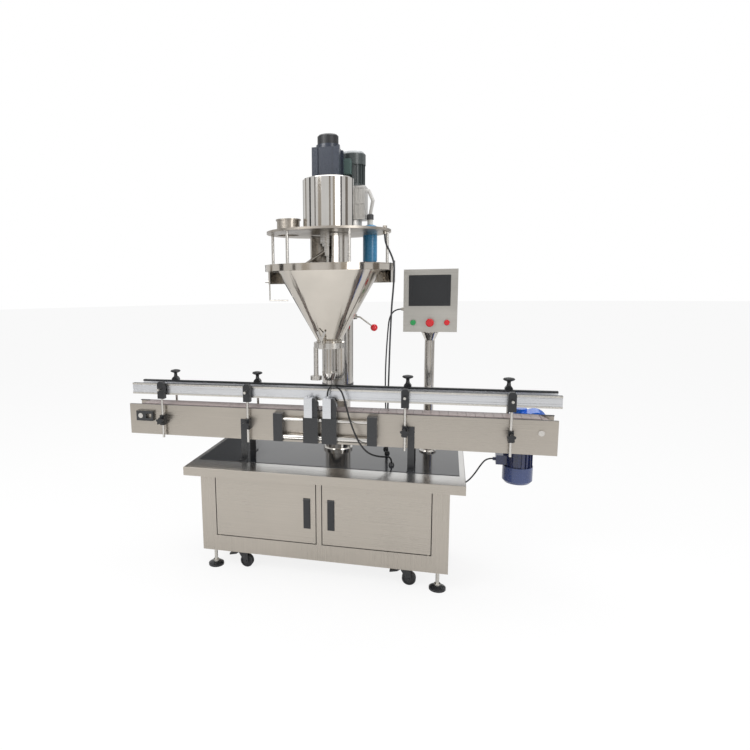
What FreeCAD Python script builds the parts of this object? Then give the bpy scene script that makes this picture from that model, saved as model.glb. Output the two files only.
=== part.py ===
import FreeCAD, Part
import math
import os

import Sketcher

# Auger powder filler: a cabinet on feet and casters, a two metre chain conveyor across its
# table, and a filling head that a lift carriage holds over the belt.
# Millimetres, +Z up, +X along the conveyor, origin on the floor under the middle of the machine.

App = FreeCAD
doc = App.newDocument("auger_powder_filler")
sheet = doc.addObject("Spreadsheet::Sheet", "dims")

SIZES = {
    # clearances
    "fit": 0.05,
    "seat_gap": 0.3,
    # table and cabinet, whose middle lies a little left of the conveyor's
    "cabinet_x": -8,
    "table_width": 1265,
    "table_depth": 524,
    "table_front": -237,
    "table_top": 517,
    "table_edge": 40,
    "mat_thick": 2,
    "mat_front_margin": 130,
    "mat_side_margin": 24,
    "cabinet_width": 1140,
    "cabinet_depth": 452,
    "cabinet_setback": 52,
    "floor_clearance": 96,
    "sheet_wall": 4,
    "frame_thick": 22,
    "door_width": 479,
    "door_bottom": 177,
    "door_top_margin": 18,
    "door_thick": 18,
    "door_gap": 4,
    "middle_stile": 31,
    "door_pin_radius": 4,
    "door_pin_inset": 10,
    "latch_width": 30,
    "latch_height": 142,
    "latch_lift": 71,
    "latch_edge_distance": 40,
    # feet and casters
    "foot_spacing_x": 1052,
    "foot_spacing_y": 360,
    "foot_radius": 37,
    "foot_stem_radius": 8,
    "caster_spacing_x": 770,
    "caster_spacing_y": 340,
    "caster_trail": 16,
    "wheel_radius": 31,
    "wheel_width": 26,
    "wheel_lift": 2,
    "axle_radius": 5,
    "fork_thick": 3,
    "kingpin_radius": 7,
    # conveyor
    "conveyor_x": -5,
    "conveyor_length": 2000,
    "conveyor_width": 119.5,
    "conveyor_bottom": 616,
    "conveyor_top": 767,
    "side_thick": 3,
    "side_flange": 12,
    "belt_top": 770,
    "belt_width": 82.5,
    "link_pitch": 38.1,
    "link_thick": 4,
    "link_gap": 1.2,
    "shaft_radius": 12.5,
    "tie_radius": 6,
    "tie_inner": 318,
    "tie_end_margin": 252,
    "leg_width": 30,
    "leg_thick": 5,
    "leg_foot": 40,
    "leg_spacing": 788,
    # guide rails
    "rail_x": 11.5,
    "rail_length": 1987,
    "rail_bottom": 820,
    "rail_top": 874,
    "rail_thick": 14,
    "rail_channel": 92,
    "strip_height": 8,
    "post_inner": 367,
    "post_end_margin": 190,
    "post_radius": 6,
    "post_bottom": 608,
    "clamp_gap": 6,
    "clamp_width": 34,
    "clamp_depth": 26,
    "clamp_bottom": 804,
    "clamp_top": 888,
    "cross_rod_height": 852,
    "bracket_width": 22,
    "bracket_bottom": 672,
    "bracket_top": 722,
    "star_radius": 20,
    "mushroom_radius": 26,
    # stopper unit on the front of the conveyor
    "block_span": 482,
    "block_width": 44,
    "block_bottom": 626,
    "block_top": 758,
    "block_depth": 41,
    "upper_bar_radius": 9,
    "upper_bar_height": 729,
    "lower_bar_radius": 14,
    "lower_bar_height": 646,
    "slider_width": 70,
    "slider_bottom": 625,
    "slider_top": 746,
    "slider_left_x": -62,
    "slider_right_x": 25,
    "cylinder_width": 38,
    "cylinder_height": 90,
    "cylinder_depth": 40,
    "piston_radius": 5,
    "piston_height": 796,
    # filling head
    "head_x": 8,
    "column_y": 210,
    "column_radius": 63,
    "sleeve_radius": 77,
    "sleeve_bottom": 850,
    "sleeve_top": 1215,
    "column_flange_radius": 73,
    "rim_radius": 287,
    "rim_bottom": 1405,
    "rim_top": 1434,
    "cone_top_radius": 231,
    "neck_radius": 57.5,
    "cone_bottom": 1093,
    "hopper_wall": 3,
    "ferrule_radius": 66,
    "clamp_radius": 71,
    "clamp_ring_bottom": 1058,
    "clamp_ring_top": 1083,
    "tube_radius": 28,
    "tube_wall": 2,
    "tube_bottom": 944,
    "cup_top_radius": 34,
    "cup_bottom_radius": 22,
    "cup_bottom": 906,
    "spout_bottom": 886,
    "auger_shaft_radius": 12,
    "auger_radius": 25,
    "auger_pitch": 40,
    "flight_thick": 4,
    "stir_shaft_radius": 22,
    "drum_radius": 93,
    "drum_bottom": 1432,
    "drum_wall": 3,
    "arm_radius": 6,
    "yoke_height": 55,
    "yoke_thick": 8,
    "plate_inset": 10,
    "plate_bottom": 1569,
    "plate_thick": 10,
    "stand_radius": 6.5,
    "stand_inset": 25,
    "housing_radius": 38,
    "housing_bottom": 1513,
    "cover_radius": 113,
    "cover_top": 1804,
    "servo_width": 120,
    "servo_top": 1930,
    "encoder_radius": 46,
    "encoder_top": 1988,
    "stir_x": 88,
    "stir_y": 170,
    "stir_motor_radius": 62,
    "stir_motor_top": 1944,
    "gear_top": 1790,
    "gear_bottom": 1640,
    "canister_x": 173,
    "canister_y": 163,
    "canister_radius": 33,
    "canister_bottom": 1446,
    "canister_shoulder": 1612,
    "inlet_x": -178,
    "inlet_radius": 52,
    "inlet_height": 60,
    # control panel
    "panel_x": 453,
    "panel_y": 243,
    "panel_width": 249,
    "panel_height": 294,
    "panel_bottom": 1115,
    "panel_depth": 85,
    "post_tube_radius": 23,
    "screen_width": 192,
    "screen_height": 144,
    "button_height": 1160,
    "button_spacing": 78,
    "button_radius": 13,
    "estop_radius": 19,
    # cables and hose
    "cable_diameter": 8,
    "hose_diameter": 8,
}


class Formula:
    """A length worked out from the sheet: its value now, and the expression that binds it."""

    def __init__(self, value, text):
        self.value = float(value)
        self.text = text

    def __add__(self, other):
        other = formula(other)
        return Formula(self.value + other.value, "(%s + %s)" % (self.text, other.text))

    def __sub__(self, other):
        other = formula(other)
        return Formula(self.value - other.value, "(%s - %s)" % (self.text, other.text))

    def __mul__(self, other):
        other = formula(other)
        return Formula(self.value * other.value, "(%s * %s)" % (self.text, other.text))

    def __truediv__(self, other):
        other = formula(other)
        return Formula(self.value / other.value, "(%s / %s)" % (self.text, other.text))

    def __neg__(self):
        return Formula(-self.value, "(0 - %s)" % self.text)

    def __radd__(self, other):
        return formula(other) + self

    def __rsub__(self, other):
        return formula(other) - self

    def __rmul__(self, other):
        return formula(other) * self


def formula(number):
    if isinstance(number, Formula):
        return number
    return Formula(number, "(%.9g)" % number)


class Dimensions:
    """Every driving size, written once in the sheet and read here by its alias."""


dim = Dimensions()
for row, (alias, size) in enumerate(SIZES.items(), start=1):
    sheet.set("A%d" % row, alias)
    sheet.set("B%d" % row, str(size))
    sheet.setAlias("B%d" % row, alias)
    setattr(dim, alias, Formula(size, "dims." + alias))
doc.recompute()


def bind(thing, prop, number):
    """Set a property and tie it to the sheet."""
    thing.setExpression(prop, formula(number).text)


def place(thing, x=0, y=0, z=0):
    bind(thing, "Placement.Base.x", x)
    bind(thing, "Placement.Base.y", y)
    bind(thing, "Placement.Base.z", z)


# ---------------------------------------------------------------- primitives and booleans

AXIS_TURN = {
    "z": App.Rotation(),
    "x": App.Rotation(App.Vector(0, 1, 0), 90),
    "y": App.Rotation(App.Vector(1, 0, 0), -90),
}


def box(name, x_range, y_range, z_range):
    """A block between two planes on each axis."""
    block = doc.addObject("Part::Box", name)
    bind(block, "Length", formula(x_range[1]) - x_range[0])
    bind(block, "Width", formula(y_range[1]) - y_range[0])
    bind(block, "Height", formula(z_range[1]) - z_range[0])
    place(block, x_range[0], y_range[0], z_range[0])
    return block


def rod(name, radius, start, length, axis="z"):
    """A round bar from its start point along +X, +Y or +Z."""
    bar = doc.addObject("Part::Cylinder", name)
    bar.Placement = App.Placement(App.Vector(), AXIS_TURN[axis])
    bind(bar, "Radius", radius)
    bind(bar, "Height", length)
    place(bar, *start)
    return bar


def taper(name, low_radius, high_radius, start, length, axis="z"):
    frustum = doc.addObject("Part::Cone", name)
    frustum.Placement = App.Placement(App.Vector(), AXIS_TURN[axis])
    bind(frustum, "Radius1", low_radius)
    bind(frustum, "Radius2", high_radius)
    bind(frustum, "Height", length)
    place(frustum, *start)
    return frustum


def fuse(name, pieces):
    joined = doc.addObject("Part::MultiFuse", name)
    joined.Shapes = pieces
    return joined


def cut(name, base, tools):
    tool = tools[0]
    if len(tools) > 1:
        tool = fuse(name + "_tools", tools)
    remainder = doc.addObject("Part::Cut", name)
    remainder.Base = base
    remainder.Tool = tool
    return remainder


def group(name, pieces):
    """Separate solids that share one node."""
    gathered = doc.addObject("Part::Compound", name)
    gathered.Links = pieces
    return gathered


# ---------------------------------------------------------------- sketches and features


def origin_plane(body, role):
    """One of the body's own planes or axes."""
    return [item for item in body.Origin.OriginFeatures if item.Role == role][0]


def tie_point(sketch, geometry, position, name, point):
    """Hold one point of a sketch at two bound distances from the sketch's origin."""
    for letter, kind, distance in (("x", "DistanceX", point[0]), ("y", "DistanceY", point[1])):
        distance = formula(distance)
        index = sketch.addConstraint(
            Sketcher.Constraint(kind, -1, 1, geometry, position, distance.value))
        sketch.renameConstraint(index, letter + name)
        sketch.setExpression("Constraints." + letter + name, distance.text)


def draw_outline(sketch, points):
    """A closed outline of straight lines through bound points."""
    first = sketch.GeometryCount
    spots = [App.Vector(formula(x).value, formula(y).value, 0) for x, y in points]
    for index, spot in enumerate(spots):
        following = spots[(index + 1) % len(spots)]
        sketch.addGeometry(Part.LineSegment(spot, following), False)
    for index, point in enumerate(points):
        line = first + index
        next_line = first + (index + 1) % len(points)
        sketch.addConstraint(Sketcher.Constraint("Coincident", line, 2, next_line, 1))
        tie_point(sketch, line, 1, "p%d" % line, point)


def draw_circle(sketch, centre, radius):
    spot = App.Vector(formula(centre[0]).value, formula(centre[1]).value, 0)
    radius = formula(radius)
    line = sketch.addGeometry(Part.Circle(spot, App.Vector(0, 0, 1), radius.value), False)
    tie_point(sketch, line, 3, "c%d" % line, centre)
    index = sketch.addConstraint(Sketcher.Constraint("Radius", line, radius.value))
    sketch.renameConstraint(index, "r%d" % line)
    sketch.setExpression("Constraints.r%d" % line, radius.text)


def new_sketch(body, name, role, outlines=(), circles=()):
    sketch = body.newObject("Sketcher::SketchObject", name)
    sketch.AttachmentSupport = [(origin_plane(body, role), "")]
    sketch.MapMode = "FlatFace"
    for outline in outlines:
        draw_outline(sketch, outline)
    for centre, radius in circles:
        draw_circle(sketch, centre, radius)
    return sketch


def pad(body, name, role, outlines, length, circles=(), middle=False, back=False):
    """A sketch on one of the body's origin planes, drawn out along the plane's normal."""
    feature = body.newObject("PartDesign::Pad", name)
    feature.Profile = new_sketch(body, name + "_sketch", role, outlines, circles)
    bind(feature, "Length", length)
    feature.Midplane = middle
    feature.Reversed = back
    return feature


def pocket(body, name, role, outlines, length, circles=(), middle=False, back=False):
    feature = body.newObject("PartDesign::Pocket", name)
    feature.Profile = new_sketch(body, name + "_sketch", role, outlines, circles)
    bind(feature, "Length", length)
    feature.Midplane = middle
    feature.Reversed = back
    return feature


def turned(name, outline, x=0, y=0, z=0, turn=None, label=None):
    """A body of revolution about its own Z axis; the outline is in radius and height."""
    body = doc.addObject("PartDesign::Body", label or name)
    sketch = new_sketch(body, name + "_outline", "XZ_Plane", [outline])
    feature = body.newObject("PartDesign::Revolution", name + "_turned")
    feature.Profile = sketch
    feature.ReferenceAxis = (sketch, ["V_Axis"])
    feature.Angle = 360
    if turn is not None:
        body.Placement = App.Placement(App.Vector(), turn)
    place(body, x, y, z)
    return body


def rectangle(x_range, y_range):
    return [(x_range[0], y_range[0]), (x_range[1], y_range[0]),
            (x_range[1], y_range[1]), (x_range[0], y_range[1])]


def both(middle, half):
    """The range that lies the same distance each side of a middle."""
    return (formula(middle) - half, formula(middle) + half)


parts = {}


def keep(node, thing):
    """Give a finished sub-part the name of its node."""
    thing.Label = node
    parts[node] = thing
    return thing


# ---------------------------------------------------------------- shapes with no feature of their own


def solid_feature(name, shape):
    thing = doc.addObject("Part::Feature", name)
    thing.Shape = shape
    return thing


def spot(x, y, z):
    return App.Vector(formula(x).value, formula(y).value, formula(z).value)


def strut(name, radius, start, end):
    """A round bar between any two points."""
    start = spot(*start)
    run = spot(*end) - start
    return solid_feature(name, Part.makeCylinder(formula(radius).value, run.Length, start, run))


def ball(name, radius, centre):
    sphere = doc.addObject("Part::Sphere", name)
    bind(sphere, "Radius", radius)
    place(sphere, *centre)
    return sphere


def cord_tube(name, diameter, points):
    """A round tube along straight runs joined by tangent arcs."""
    route = [spot(*point) for point in points]
    edges = []
    radii = []
    here = route[0]
    for before, corner, after in zip(route, route[1:], route[2:]):
        arriving = (corner - before).normalize()
        leaving = (after - corner).normalize()
        turn = arriving.getAngle(leaving)
        shorter = min((corner - before).Length, (after - corner).Length)
        setback = 0.45 * shorter
        radii.append(setback / math.tan(turn / 2))
        arc_start = corner - arriving * setback
        arc_end = corner + leaving * setback
        inward = (leaving - arriving).normalize()
        centre = corner + inward * (setback / math.sin(turn / 2))
        arc_middle = centre - inward * radii[-1]
        edges.append(Part.LineSegment(here, arc_start).toShape())
        edges.append(Part.Arc(arc_start, arc_middle, arc_end).toShape())
        here = arc_end
    edges.append(Part.LineSegment(here, route[-1]).toShape())
    path = Part.Wire(edges)
    ring = Part.Wire([Part.makeCircle(diameter / 2, route[0], route[1] - route[0])])
    tube = path.makePipeShell([ring], True, False)
    expected = math.pi * diameter ** 2 / 4 * path.Length
    print("%s: %.0f mm long, tightest arc %.0f mm, volume %.3f of section times length"
          % (name, path.Length, min(radii), tube.Volume / expected))
    return solid_feature(name, tube)


# ---------------------------------------------------------------- places shared by several pieces

cabinet_left = dim.cabinet_x - dim.cabinet_width / 2
cabinet_right = dim.cabinet_x + dim.cabinet_width / 2
cabinet_front = dim.table_front + dim.cabinet_setback
cabinet_back = cabinet_front + dim.cabinet_depth
cabinet_middle_y = (cabinet_front + cabinet_back) / 2
cabinet_top = dim.table_top - dim.table_edge
mat_top = dim.table_top + dim.mat_thick
grommet_top = mat_top + 12
side_face = dim.conveyor_width / 2
conveyor_start = dim.conveyor_x - dim.conveyor_length / 2
conveyor_end = dim.conveyor_x + dim.conveyor_length / 2

SERVO_CABLE_END = (262, 160)
PANEL_CABLE_END = (248, 230)
HOSE_END = (300, -22)

# ---------------------------------------------------------------- cabinet, doors and table

door_axis_y = cabinet_front + dim.door_thick / 3
door_top = cabinet_top - dim.door_top_margin
PIN_REACH = 16
CASTER_PLATE = (42, 31, 6)

caster_left_x = dim.cabinet_x - dim.caster_spacing_x / 2
caster_right_x = dim.cabinet_x + dim.caster_spacing_x / 2
caster_front_y = cabinet_middle_y - dim.caster_spacing_y / 2
caster_back_y = cabinet_middle_y + dim.caster_spacing_y / 2
motor_cable_gland = (cabinet_right, 3, 436)


def door_range(side):
    """The door's left and right edges; side is -1 for the left door and 1 for the right."""
    inner = dim.cabinet_x + side * (dim.middle_stile / 2)
    outer = inner + side * dim.door_width
    return (outer, inner) if side < 0 else (inner, outer)


def door_pin_x(side):
    left, right = door_range(side)
    return left + dim.door_pin_inset if side < 0 else right - dim.door_pin_inset


def cabinet_shell():
    shell = box("cabinet_outer", (cabinet_left, cabinet_right), (cabinet_front, cabinet_back),
                (dim.floor_clearance, cabinet_top))
    hollow = [box("cabinet_inner", (cabinet_left + dim.sheet_wall, cabinet_right - dim.sheet_wall),
                  (cabinet_front + dim.frame_thick, cabinet_back - dim.sheet_wall),
                  (dim.floor_clearance + dim.sheet_wall, cabinet_top - dim.sheet_wall))]
    additions = []
    for side, word in ((-1, "left"), (1, "right")):
        left, right = door_range(side)
        hollow.append(box("opening_" + word, (left - dim.door_gap, right + dim.door_gap),
                          (cabinet_front - 1, cabinet_front + dim.frame_thick + 1),
                          (dim.door_bottom - dim.door_gap, door_top + dim.door_gap)))
        pin_length = dim.door_gap + PIN_REACH + 2
        for level, start in (("low", dim.door_bottom - dim.door_gap - 2), ("high", door_top - PIN_REACH)):
            additions.append(rod("door_pin_%s_%s" % (word, level), dim.door_pin_radius,
                                 (door_pin_x(side), door_axis_y, start), pin_length))
    for x in (caster_left_x, caster_right_x):
        plate = box("caster_plate", both(x, CASTER_PLATE[0]), both(caster_front_y, CASTER_PLATE[1]),
                    (dim.floor_clearance - CASTER_PLATE[2], dim.floor_clearance + 1))
        additions.append(plate)
    additions.append(rod("cable_gland", 9, motor_cable_gland, 15, "x"))
    opened = cut("cabinet_opened", shell, hollow)
    joined = fuse("cabinet_joined", [opened] + additions)
    holes = [rod("kingpin_hole", dim.kingpin_radius + dim.fit,
                 (x, caster_front_y, dim.floor_clearance - 10), 20)
             for x in (caster_left_x, caster_right_x)]
    keep("cabinet_shell", cut("cabinet_bored", joined, holes))


def tabletop():
    half = dim.table_width / 2
    back = dim.table_front + dim.table_depth
    slab = box("table_slab", both(dim.cabinet_x, half), (dim.table_front, back),
               (cabinet_top, dim.table_top))
    hollow = box("table_hollow", (cabinet_left + 24, cabinet_right - 24),
                 (cabinet_front + 24, cabinet_back - 24), (cabinet_top - 1, dim.table_top - dim.sheet_wall))
    edge = doc.addObject("Part::Chamfer", "table_bevel")
    edge.Base = cut("table_pan", slab, [hollow])
    doc.recompute()
    top_edges = []
    for index, line in enumerate(edge.Base.Shape.Edges, start=1):
        if line.BoundBox.ZMin > dim.table_top.value - 0.01:
            top_edges.append((index, 2.0, 2.0))
    edge.Edges = top_edges
    keep("tabletop", edge)


def table_mat():
    """The mat lies round the feet of the column and the panel post, and carries the grommets."""
    mat = box("mat_sheet", both(dim.cabinet_x, dim.table_width / 2 - dim.mat_side_margin),
              (dim.table_front + dim.mat_front_margin, dim.table_front + dim.table_depth - 2),
              (dim.table_top, mat_top))
    holes = [
        rod("mat_column_hole", dim.column_flange_radius + dim.seat_gap, (dim.head_x, dim.column_y, dim.table_top - 1), 10),
        rod("mat_post_hole", 41, (dim.panel_x, dim.panel_y, dim.table_top - 1), 10),
    ]
    rings = [taper("grommet_%d" % number, 14, 10, (x, y, mat_top - 1), 13)
             for number, (x, y) in enumerate((SERVO_CABLE_END, PANEL_CABLE_END, HOSE_END))]
    keep("table_mat", fuse("mat_with_grommets", [cut("mat_cut", mat, holes)] + rings))


def latch_x(side):
    left, right = door_range(side)
    return right - dim.latch_edge_distance if side < 0 else left + dim.latch_edge_distance


LATCH_PIN_RADIUS = 2.5
LATCH_PIN_DROP = 10
latch_bottom = dim.door_bottom + dim.latch_lift
latch_top = latch_bottom + dim.latch_height
latch_pin_z = latch_top - LATCH_PIN_DROP
latch_pin_y = cabinet_front + 2.5


def door(side, word):
    """A folded pan: thin skin, deep edges, and a solid strip that holds the latch."""
    left, right = door_range(side)
    panel = box("door_blank_" + word, (left, right), (cabinet_front, cabinet_front + dim.door_thick),
                (dim.door_bottom, door_top))
    hollow_x = (left + 24, right - 70) if side < 0 else (left + 70, right - 24)
    hollow = box("door_hollow_" + word, hollow_x, (cabinet_front + 3, cabinet_front + dim.door_thick + 1),
                 (dim.door_bottom + 24, door_top - 24))
    x = latch_x(side)
    recess = box("latch_recess_" + word, both(x, dim.latch_width / 2 + 1.5),
                 (cabinet_front - 1, cabinet_front + 13), (latch_bottom - 1.5, latch_top + 1.5))
    pin_bore = rod("latch_pin_bore_" + word, LATCH_PIN_RADIUS + dim.fit,
                   (x - dim.latch_width / 2 - 8, latch_pin_y, latch_pin_z), dim.latch_width + 16, "x")
    bores = [rod("door_bore_%s_%s" % (word, level), dim.door_pin_radius + dim.fit,
                 (door_pin_x(side), door_axis_y, start), PIN_REACH + 2)
             for level, start in (("low", dim.door_bottom - 1), ("high", door_top - PIN_REACH - 1))]
    keep("door_" + word, cut("door_cut_" + word, panel, [hollow, recess, pin_bore] + bores))


def latch(side, word):
    """A black paddle in the door's recess, on a cross pin near its top."""
    body = doc.addObject("PartDesign::Body", "latch_paddle_" + word)
    front = cabinet_front - 4
    back = cabinet_front + 6
    outline = [(front + 1, latch_bottom), (back, latch_bottom), (back, latch_top),
               (front + 3, latch_top), (front, latch_top - 6), (front, latch_bottom + 30)]
    pad(body, "paddle_" + word, "YZ_Plane", [outline], dim.latch_width, middle=True)
    place(body, latch_x(side), 0, 0)
    pin = rod("latch_pin_" + word, LATCH_PIN_RADIUS,
              (latch_x(side) - dim.latch_width / 2 - 7, latch_pin_y, latch_pin_z), dim.latch_width + 14, "x")
    keep("latch_" + word, fuse("latch_joined_" + word, [body, pin]))


cabinet_shell()
tabletop()
table_mat()
for side, word in ((-1, "left"), (1, "right")):
    door(side, word)
    latch(side, word)

# ---------------------------------------------------------------- feet and casters

axle_height = dim.wheel_lift + dim.wheel_radius


def levelling_feet():
    feet = []
    for x in (dim.cabinet_x - dim.foot_spacing_x / 2, dim.cabinet_x + dim.foot_spacing_x / 2):
        for y in (cabinet_middle_y - dim.foot_spacing_y / 2, cabinet_middle_y + dim.foot_spacing_y / 2):
            outline = [(0, 0), (dim.foot_radius, 0), (dim.foot_radius, 9), (dim.foot_radius - 8, 14),
                       (dim.foot_stem_radius + 6, 19), (dim.foot_stem_radius + 6, 27),
                       (dim.foot_stem_radius, 27), (dim.foot_stem_radius, dim.floor_clearance - 10),
                       (dim.foot_stem_radius + 6, dim.floor_clearance - 10),
                       (dim.foot_stem_radius + 6, dim.floor_clearance), (0, dim.floor_clearance)]
            feet.append(turned("foot_%d" % len(feet), outline, x, y))
    keep("levelling_feet", group("feet_group", feet))


def fork(name, crown_top, x, y, turn=0):
    """A pressed fork with its axle, in its own frame on the floor under the caster's axis."""
    half_gap = dim.wheel_width / 2 + 2
    body = doc.addObject("PartDesign::Body", name + "_press")
    trail = dim.caster_trail
    cheek = [(-22, crown_top), (22, crown_top), (24, crown_top - 12), (trail + 11, axle_height),
             (trail + 7, axle_height - 9), (trail - 7, axle_height - 9), (trail - 11, axle_height),
             (-22, crown_top - 12)]
    pad(body, name + "_cheeks", "XZ_Plane", [cheek], 2 * (half_gap + dim.fork_thick), middle=True)
    gap = rectangle((-60, 60), (0, crown_top - 5))
    pocket(body, name + "_gap", "XZ_Plane", [gap], 2 * half_gap, middle=True)
    pad(body, name + "_axle", "XZ_Plane", [], 2 * (half_gap + dim.fork_thick + 4),
        circles=[((trail, axle_height), dim.axle_radius)], middle=True)
    body.Placement = App.Placement(App.Vector(), App.Rotation(App.Vector(0, 0, 1), turn))
    place(body, x, y, 0)
    return body


def wheel(name, x, y, axis):
    rim = dim.wheel_radius
    half = dim.wheel_width / 2
    bore = dim.axle_radius + dim.fit
    outline = [(bore, -half), (12, -half), (13, 4 - half), (rim - 8, 4 - half), (rim - 7, -half),
               (rim - 3, -half), (rim, 3 - half), (rim, half - 3), (rim - 3, half), (rim - 7, half),
               (rim - 8, half - 4), (13, half - 4), (12, half), (bore, half)]
    return turned(name, outline, x, y, axle_height, AXIS_TURN[axis])


def casters():
    """Braked swivel casters at the front; fixed casters at the back, on one axle line."""
    swivel_crown = dim.floor_clearance - CASTER_PLATE[2] - dim.seat_gap
    for x, word in ((caster_left_x, "left"), (caster_right_x, "right")):
        press = fork("fork_" + word, swivel_crown, x, caster_front_y)
        kingpin = rod("kingpin_" + word, dim.kingpin_radius, (x, caster_front_y, swivel_crown - 3),
                      CASTER_PLATE[2] + dim.sheet_wall)
        lever = doc.addObject("PartDesign::Body", "brake_lever_" + word)
        outline = [(-18, swivel_crown), (-40, swivel_crown - 18), (-70, swivel_crown - 26),
                   (-70, swivel_crown - 34), (-36, swivel_crown - 27), (-18, swivel_crown - 14)]
        pad(lever, "brake_pedal_" + word, "XZ_Plane", [outline], 24, middle=True)
        place(lever, x, caster_front_y, 0)
        keep("caster_fork_" + word, fuse("fork_joined_" + word, [press, kingpin, lever]))
        keep("caster_wheel_" + word, wheel("wheel_" + word, x + dim.caster_trail, caster_front_y, "y"))
    rear_forks = []
    rear_wheels = []
    for x, word in ((caster_left_x, "left"), (caster_right_x, "right")):
        rear_forks.append(fork("rear_fork_" + word, dim.floor_clearance, x, caster_back_y, 90))
        rear_wheels.append(wheel("rear_wheel_" + word, x, caster_back_y + dim.caster_trail, "x"))
    keep("rear_caster_forks", group("rear_fork_group", rear_forks))
    keep("rear_caster_wheels", group("rear_wheel_group", rear_wheels))


levelling_feet()
casters()

# ---------------------------------------------------------------- conveyor

SPROCKET_TEETH = 8
HINGE_DEPTH = 4
KNUCKLE_RADIUS = 3.6
KNUCKLE_GAP = 0.25

hinge_radius = dim.link_pitch * (0.5 / math.sin(math.pi / SPROCKET_TEETH))
belt_reach = hinge_radius + dim.link_thick + HINGE_DEPTH
shaft_height = dim.belt_top - belt_reach
links_per_run = int((dim.conveyor_length - 2 * belt_reach - 8).value / dim.link_pitch.value)
drive_x = dim.conveyor_x + links_per_run * dim.link_pitch / 2
tail_x = dim.conveyor_x - links_per_run * dim.link_pitch / 2
upper_tie_height = dim.belt_top - 25
lower_tie_height = dim.conveyor_bottom + 29
tie_outer = dim.conveyor_length / 2 - dim.tie_end_margin
tie_places = (-tie_outer, -dim.tie_inner, dim.tie_inner, tie_outer)


def side_profile(side):
    """A folded channel that opens towards the belt; side is -1 at the front, 1 at the back."""
    outer = side * side_face
    web = outer - side * dim.side_thick
    lip = outer - side * dim.side_flange
    bottom = dim.conveyor_bottom
    top = dim.conveyor_top
    thick = dim.side_thick
    return [(outer, bottom), (lip, bottom), (lip, bottom + thick), (web, bottom + thick),
            (web, top - thick), (lip, top - thick), (lip, top), (outer, top)]


def conveyor_frame():
    pieces = []
    for side, word in ((-1, "front"), (1, "back")):
        body = doc.addObject("PartDesign::Body", "side_" + word)
        pad(body, "side_channel_" + word, "YZ_Plane", [side_profile(side)], dim.conveyor_length)
        place(body, conveyor_start, 0, 0)
        start_y = side * side_face - 10
        bores = [rod("shaft_bore_%s_%s" % (word, end), dim.shaft_radius + dim.fit,
                     (x, start_y, shaft_height), 20, "y")
                 for end, x in (("drive", drive_x), ("tail", tail_x))]
        pieces.append(cut("side_plate_" + word, body, bores))
    for number, offset in enumerate(tie_places):
        for level, height in (("upper", upper_tie_height), ("lower", lower_tie_height)):
            pieces.append(rod("tie_%s_%d" % (level, number), dim.tie_radius,
                              (dim.conveyor_x + offset, dim.side_thick - side_face, height),
                              2 * (side_face - dim.side_thick), "y"))
    for side, word in ((-1, "front"), (1, "back")):
        inner = side * 30
        outer = side * 38
        pieces.append(box("wear_strip_" + word, (tail_x, drive_x), (min(inner, outer), max(inner, outer)),
                          (upper_tie_height + dim.tie_radius, dim.belt_top - dim.link_thick)))
    keep("conveyor_frame", group("frame_group", pieces))


def chain_link(start, end, outward):
    """One flat plate between two hinge lines, on a block whose round end is the hinge's knuckle."""
    along = (end - start).normalize()
    gap = dim.link_gap.value / 2
    pitch = dim.link_pitch.value
    low = float(HINGE_DEPTH)
    high = low + dim.link_thick.value
    stop = pitch - KNUCKLE_RADIUS - KNUCKLE_GAP
    slope = KNUCKLE_RADIUS * math.sqrt(0.5)
    plate_section = [(gap, low), (pitch - gap, low), (pitch - gap, high), (gap, high)]
    block_section = [(0, KNUCKLE_RADIUS), (-slope, slope), (-KNUCKLE_RADIUS, 0), (-slope, -slope),
                     (0, -KNUCKLE_RADIUS), (stop, -KNUCKLE_RADIUS), (stop, low), (gap, low)]
    solids = []
    for section, width in ((plate_section, dim.belt_width.value), (block_section, dim.belt_width.value / 2)):
        across = App.Vector(0, width, 0)
        corners = [start + along * distance + outward * height - across / 2 for distance, height in section]
        solids.append(Part.Face(Part.makePolygon(corners + corners[:1])).extrude(across))
    return solids[0].fuse(solids[1]).removeSplitter()


def chain_belt():
    """A closed flat-top chain: two straight runs and half a turn round each sprocket."""
    radius = hinge_radius.value
    height = shaft_height.value
    pitch = dim.link_pitch.value
    hinges = [App.Vector(tail_x.value + index * pitch, 0, height + radius) for index in range(links_per_run)]
    step = 2 * math.pi / SPROCKET_TEETH
    for index in range(SPROCKET_TEETH // 2):
        angle = math.pi / 2 - index * step
        hinges.append(App.Vector(drive_x.value + radius * math.cos(angle), 0, height + radius * math.sin(angle)))
    hinges += [App.Vector(drive_x.value - index * pitch, 0, height - radius) for index in range(links_per_run)]
    for index in range(SPROCKET_TEETH // 2):
        angle = -math.pi / 2 - index * step
        hinges.append(App.Vector(tail_x.value + radius * math.cos(angle), 0, height + radius * math.sin(angle)))
    links = []
    for start, end in zip(hinges, hinges[1:] + hinges[:1]):
        along = (end - start).normalize()
        links.append(chain_link(start, end, App.Vector(-along.z, 0, along.x)))
    keep("chain_belt", solid_feature("chain_links", Part.makeCompound(links)))


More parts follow.
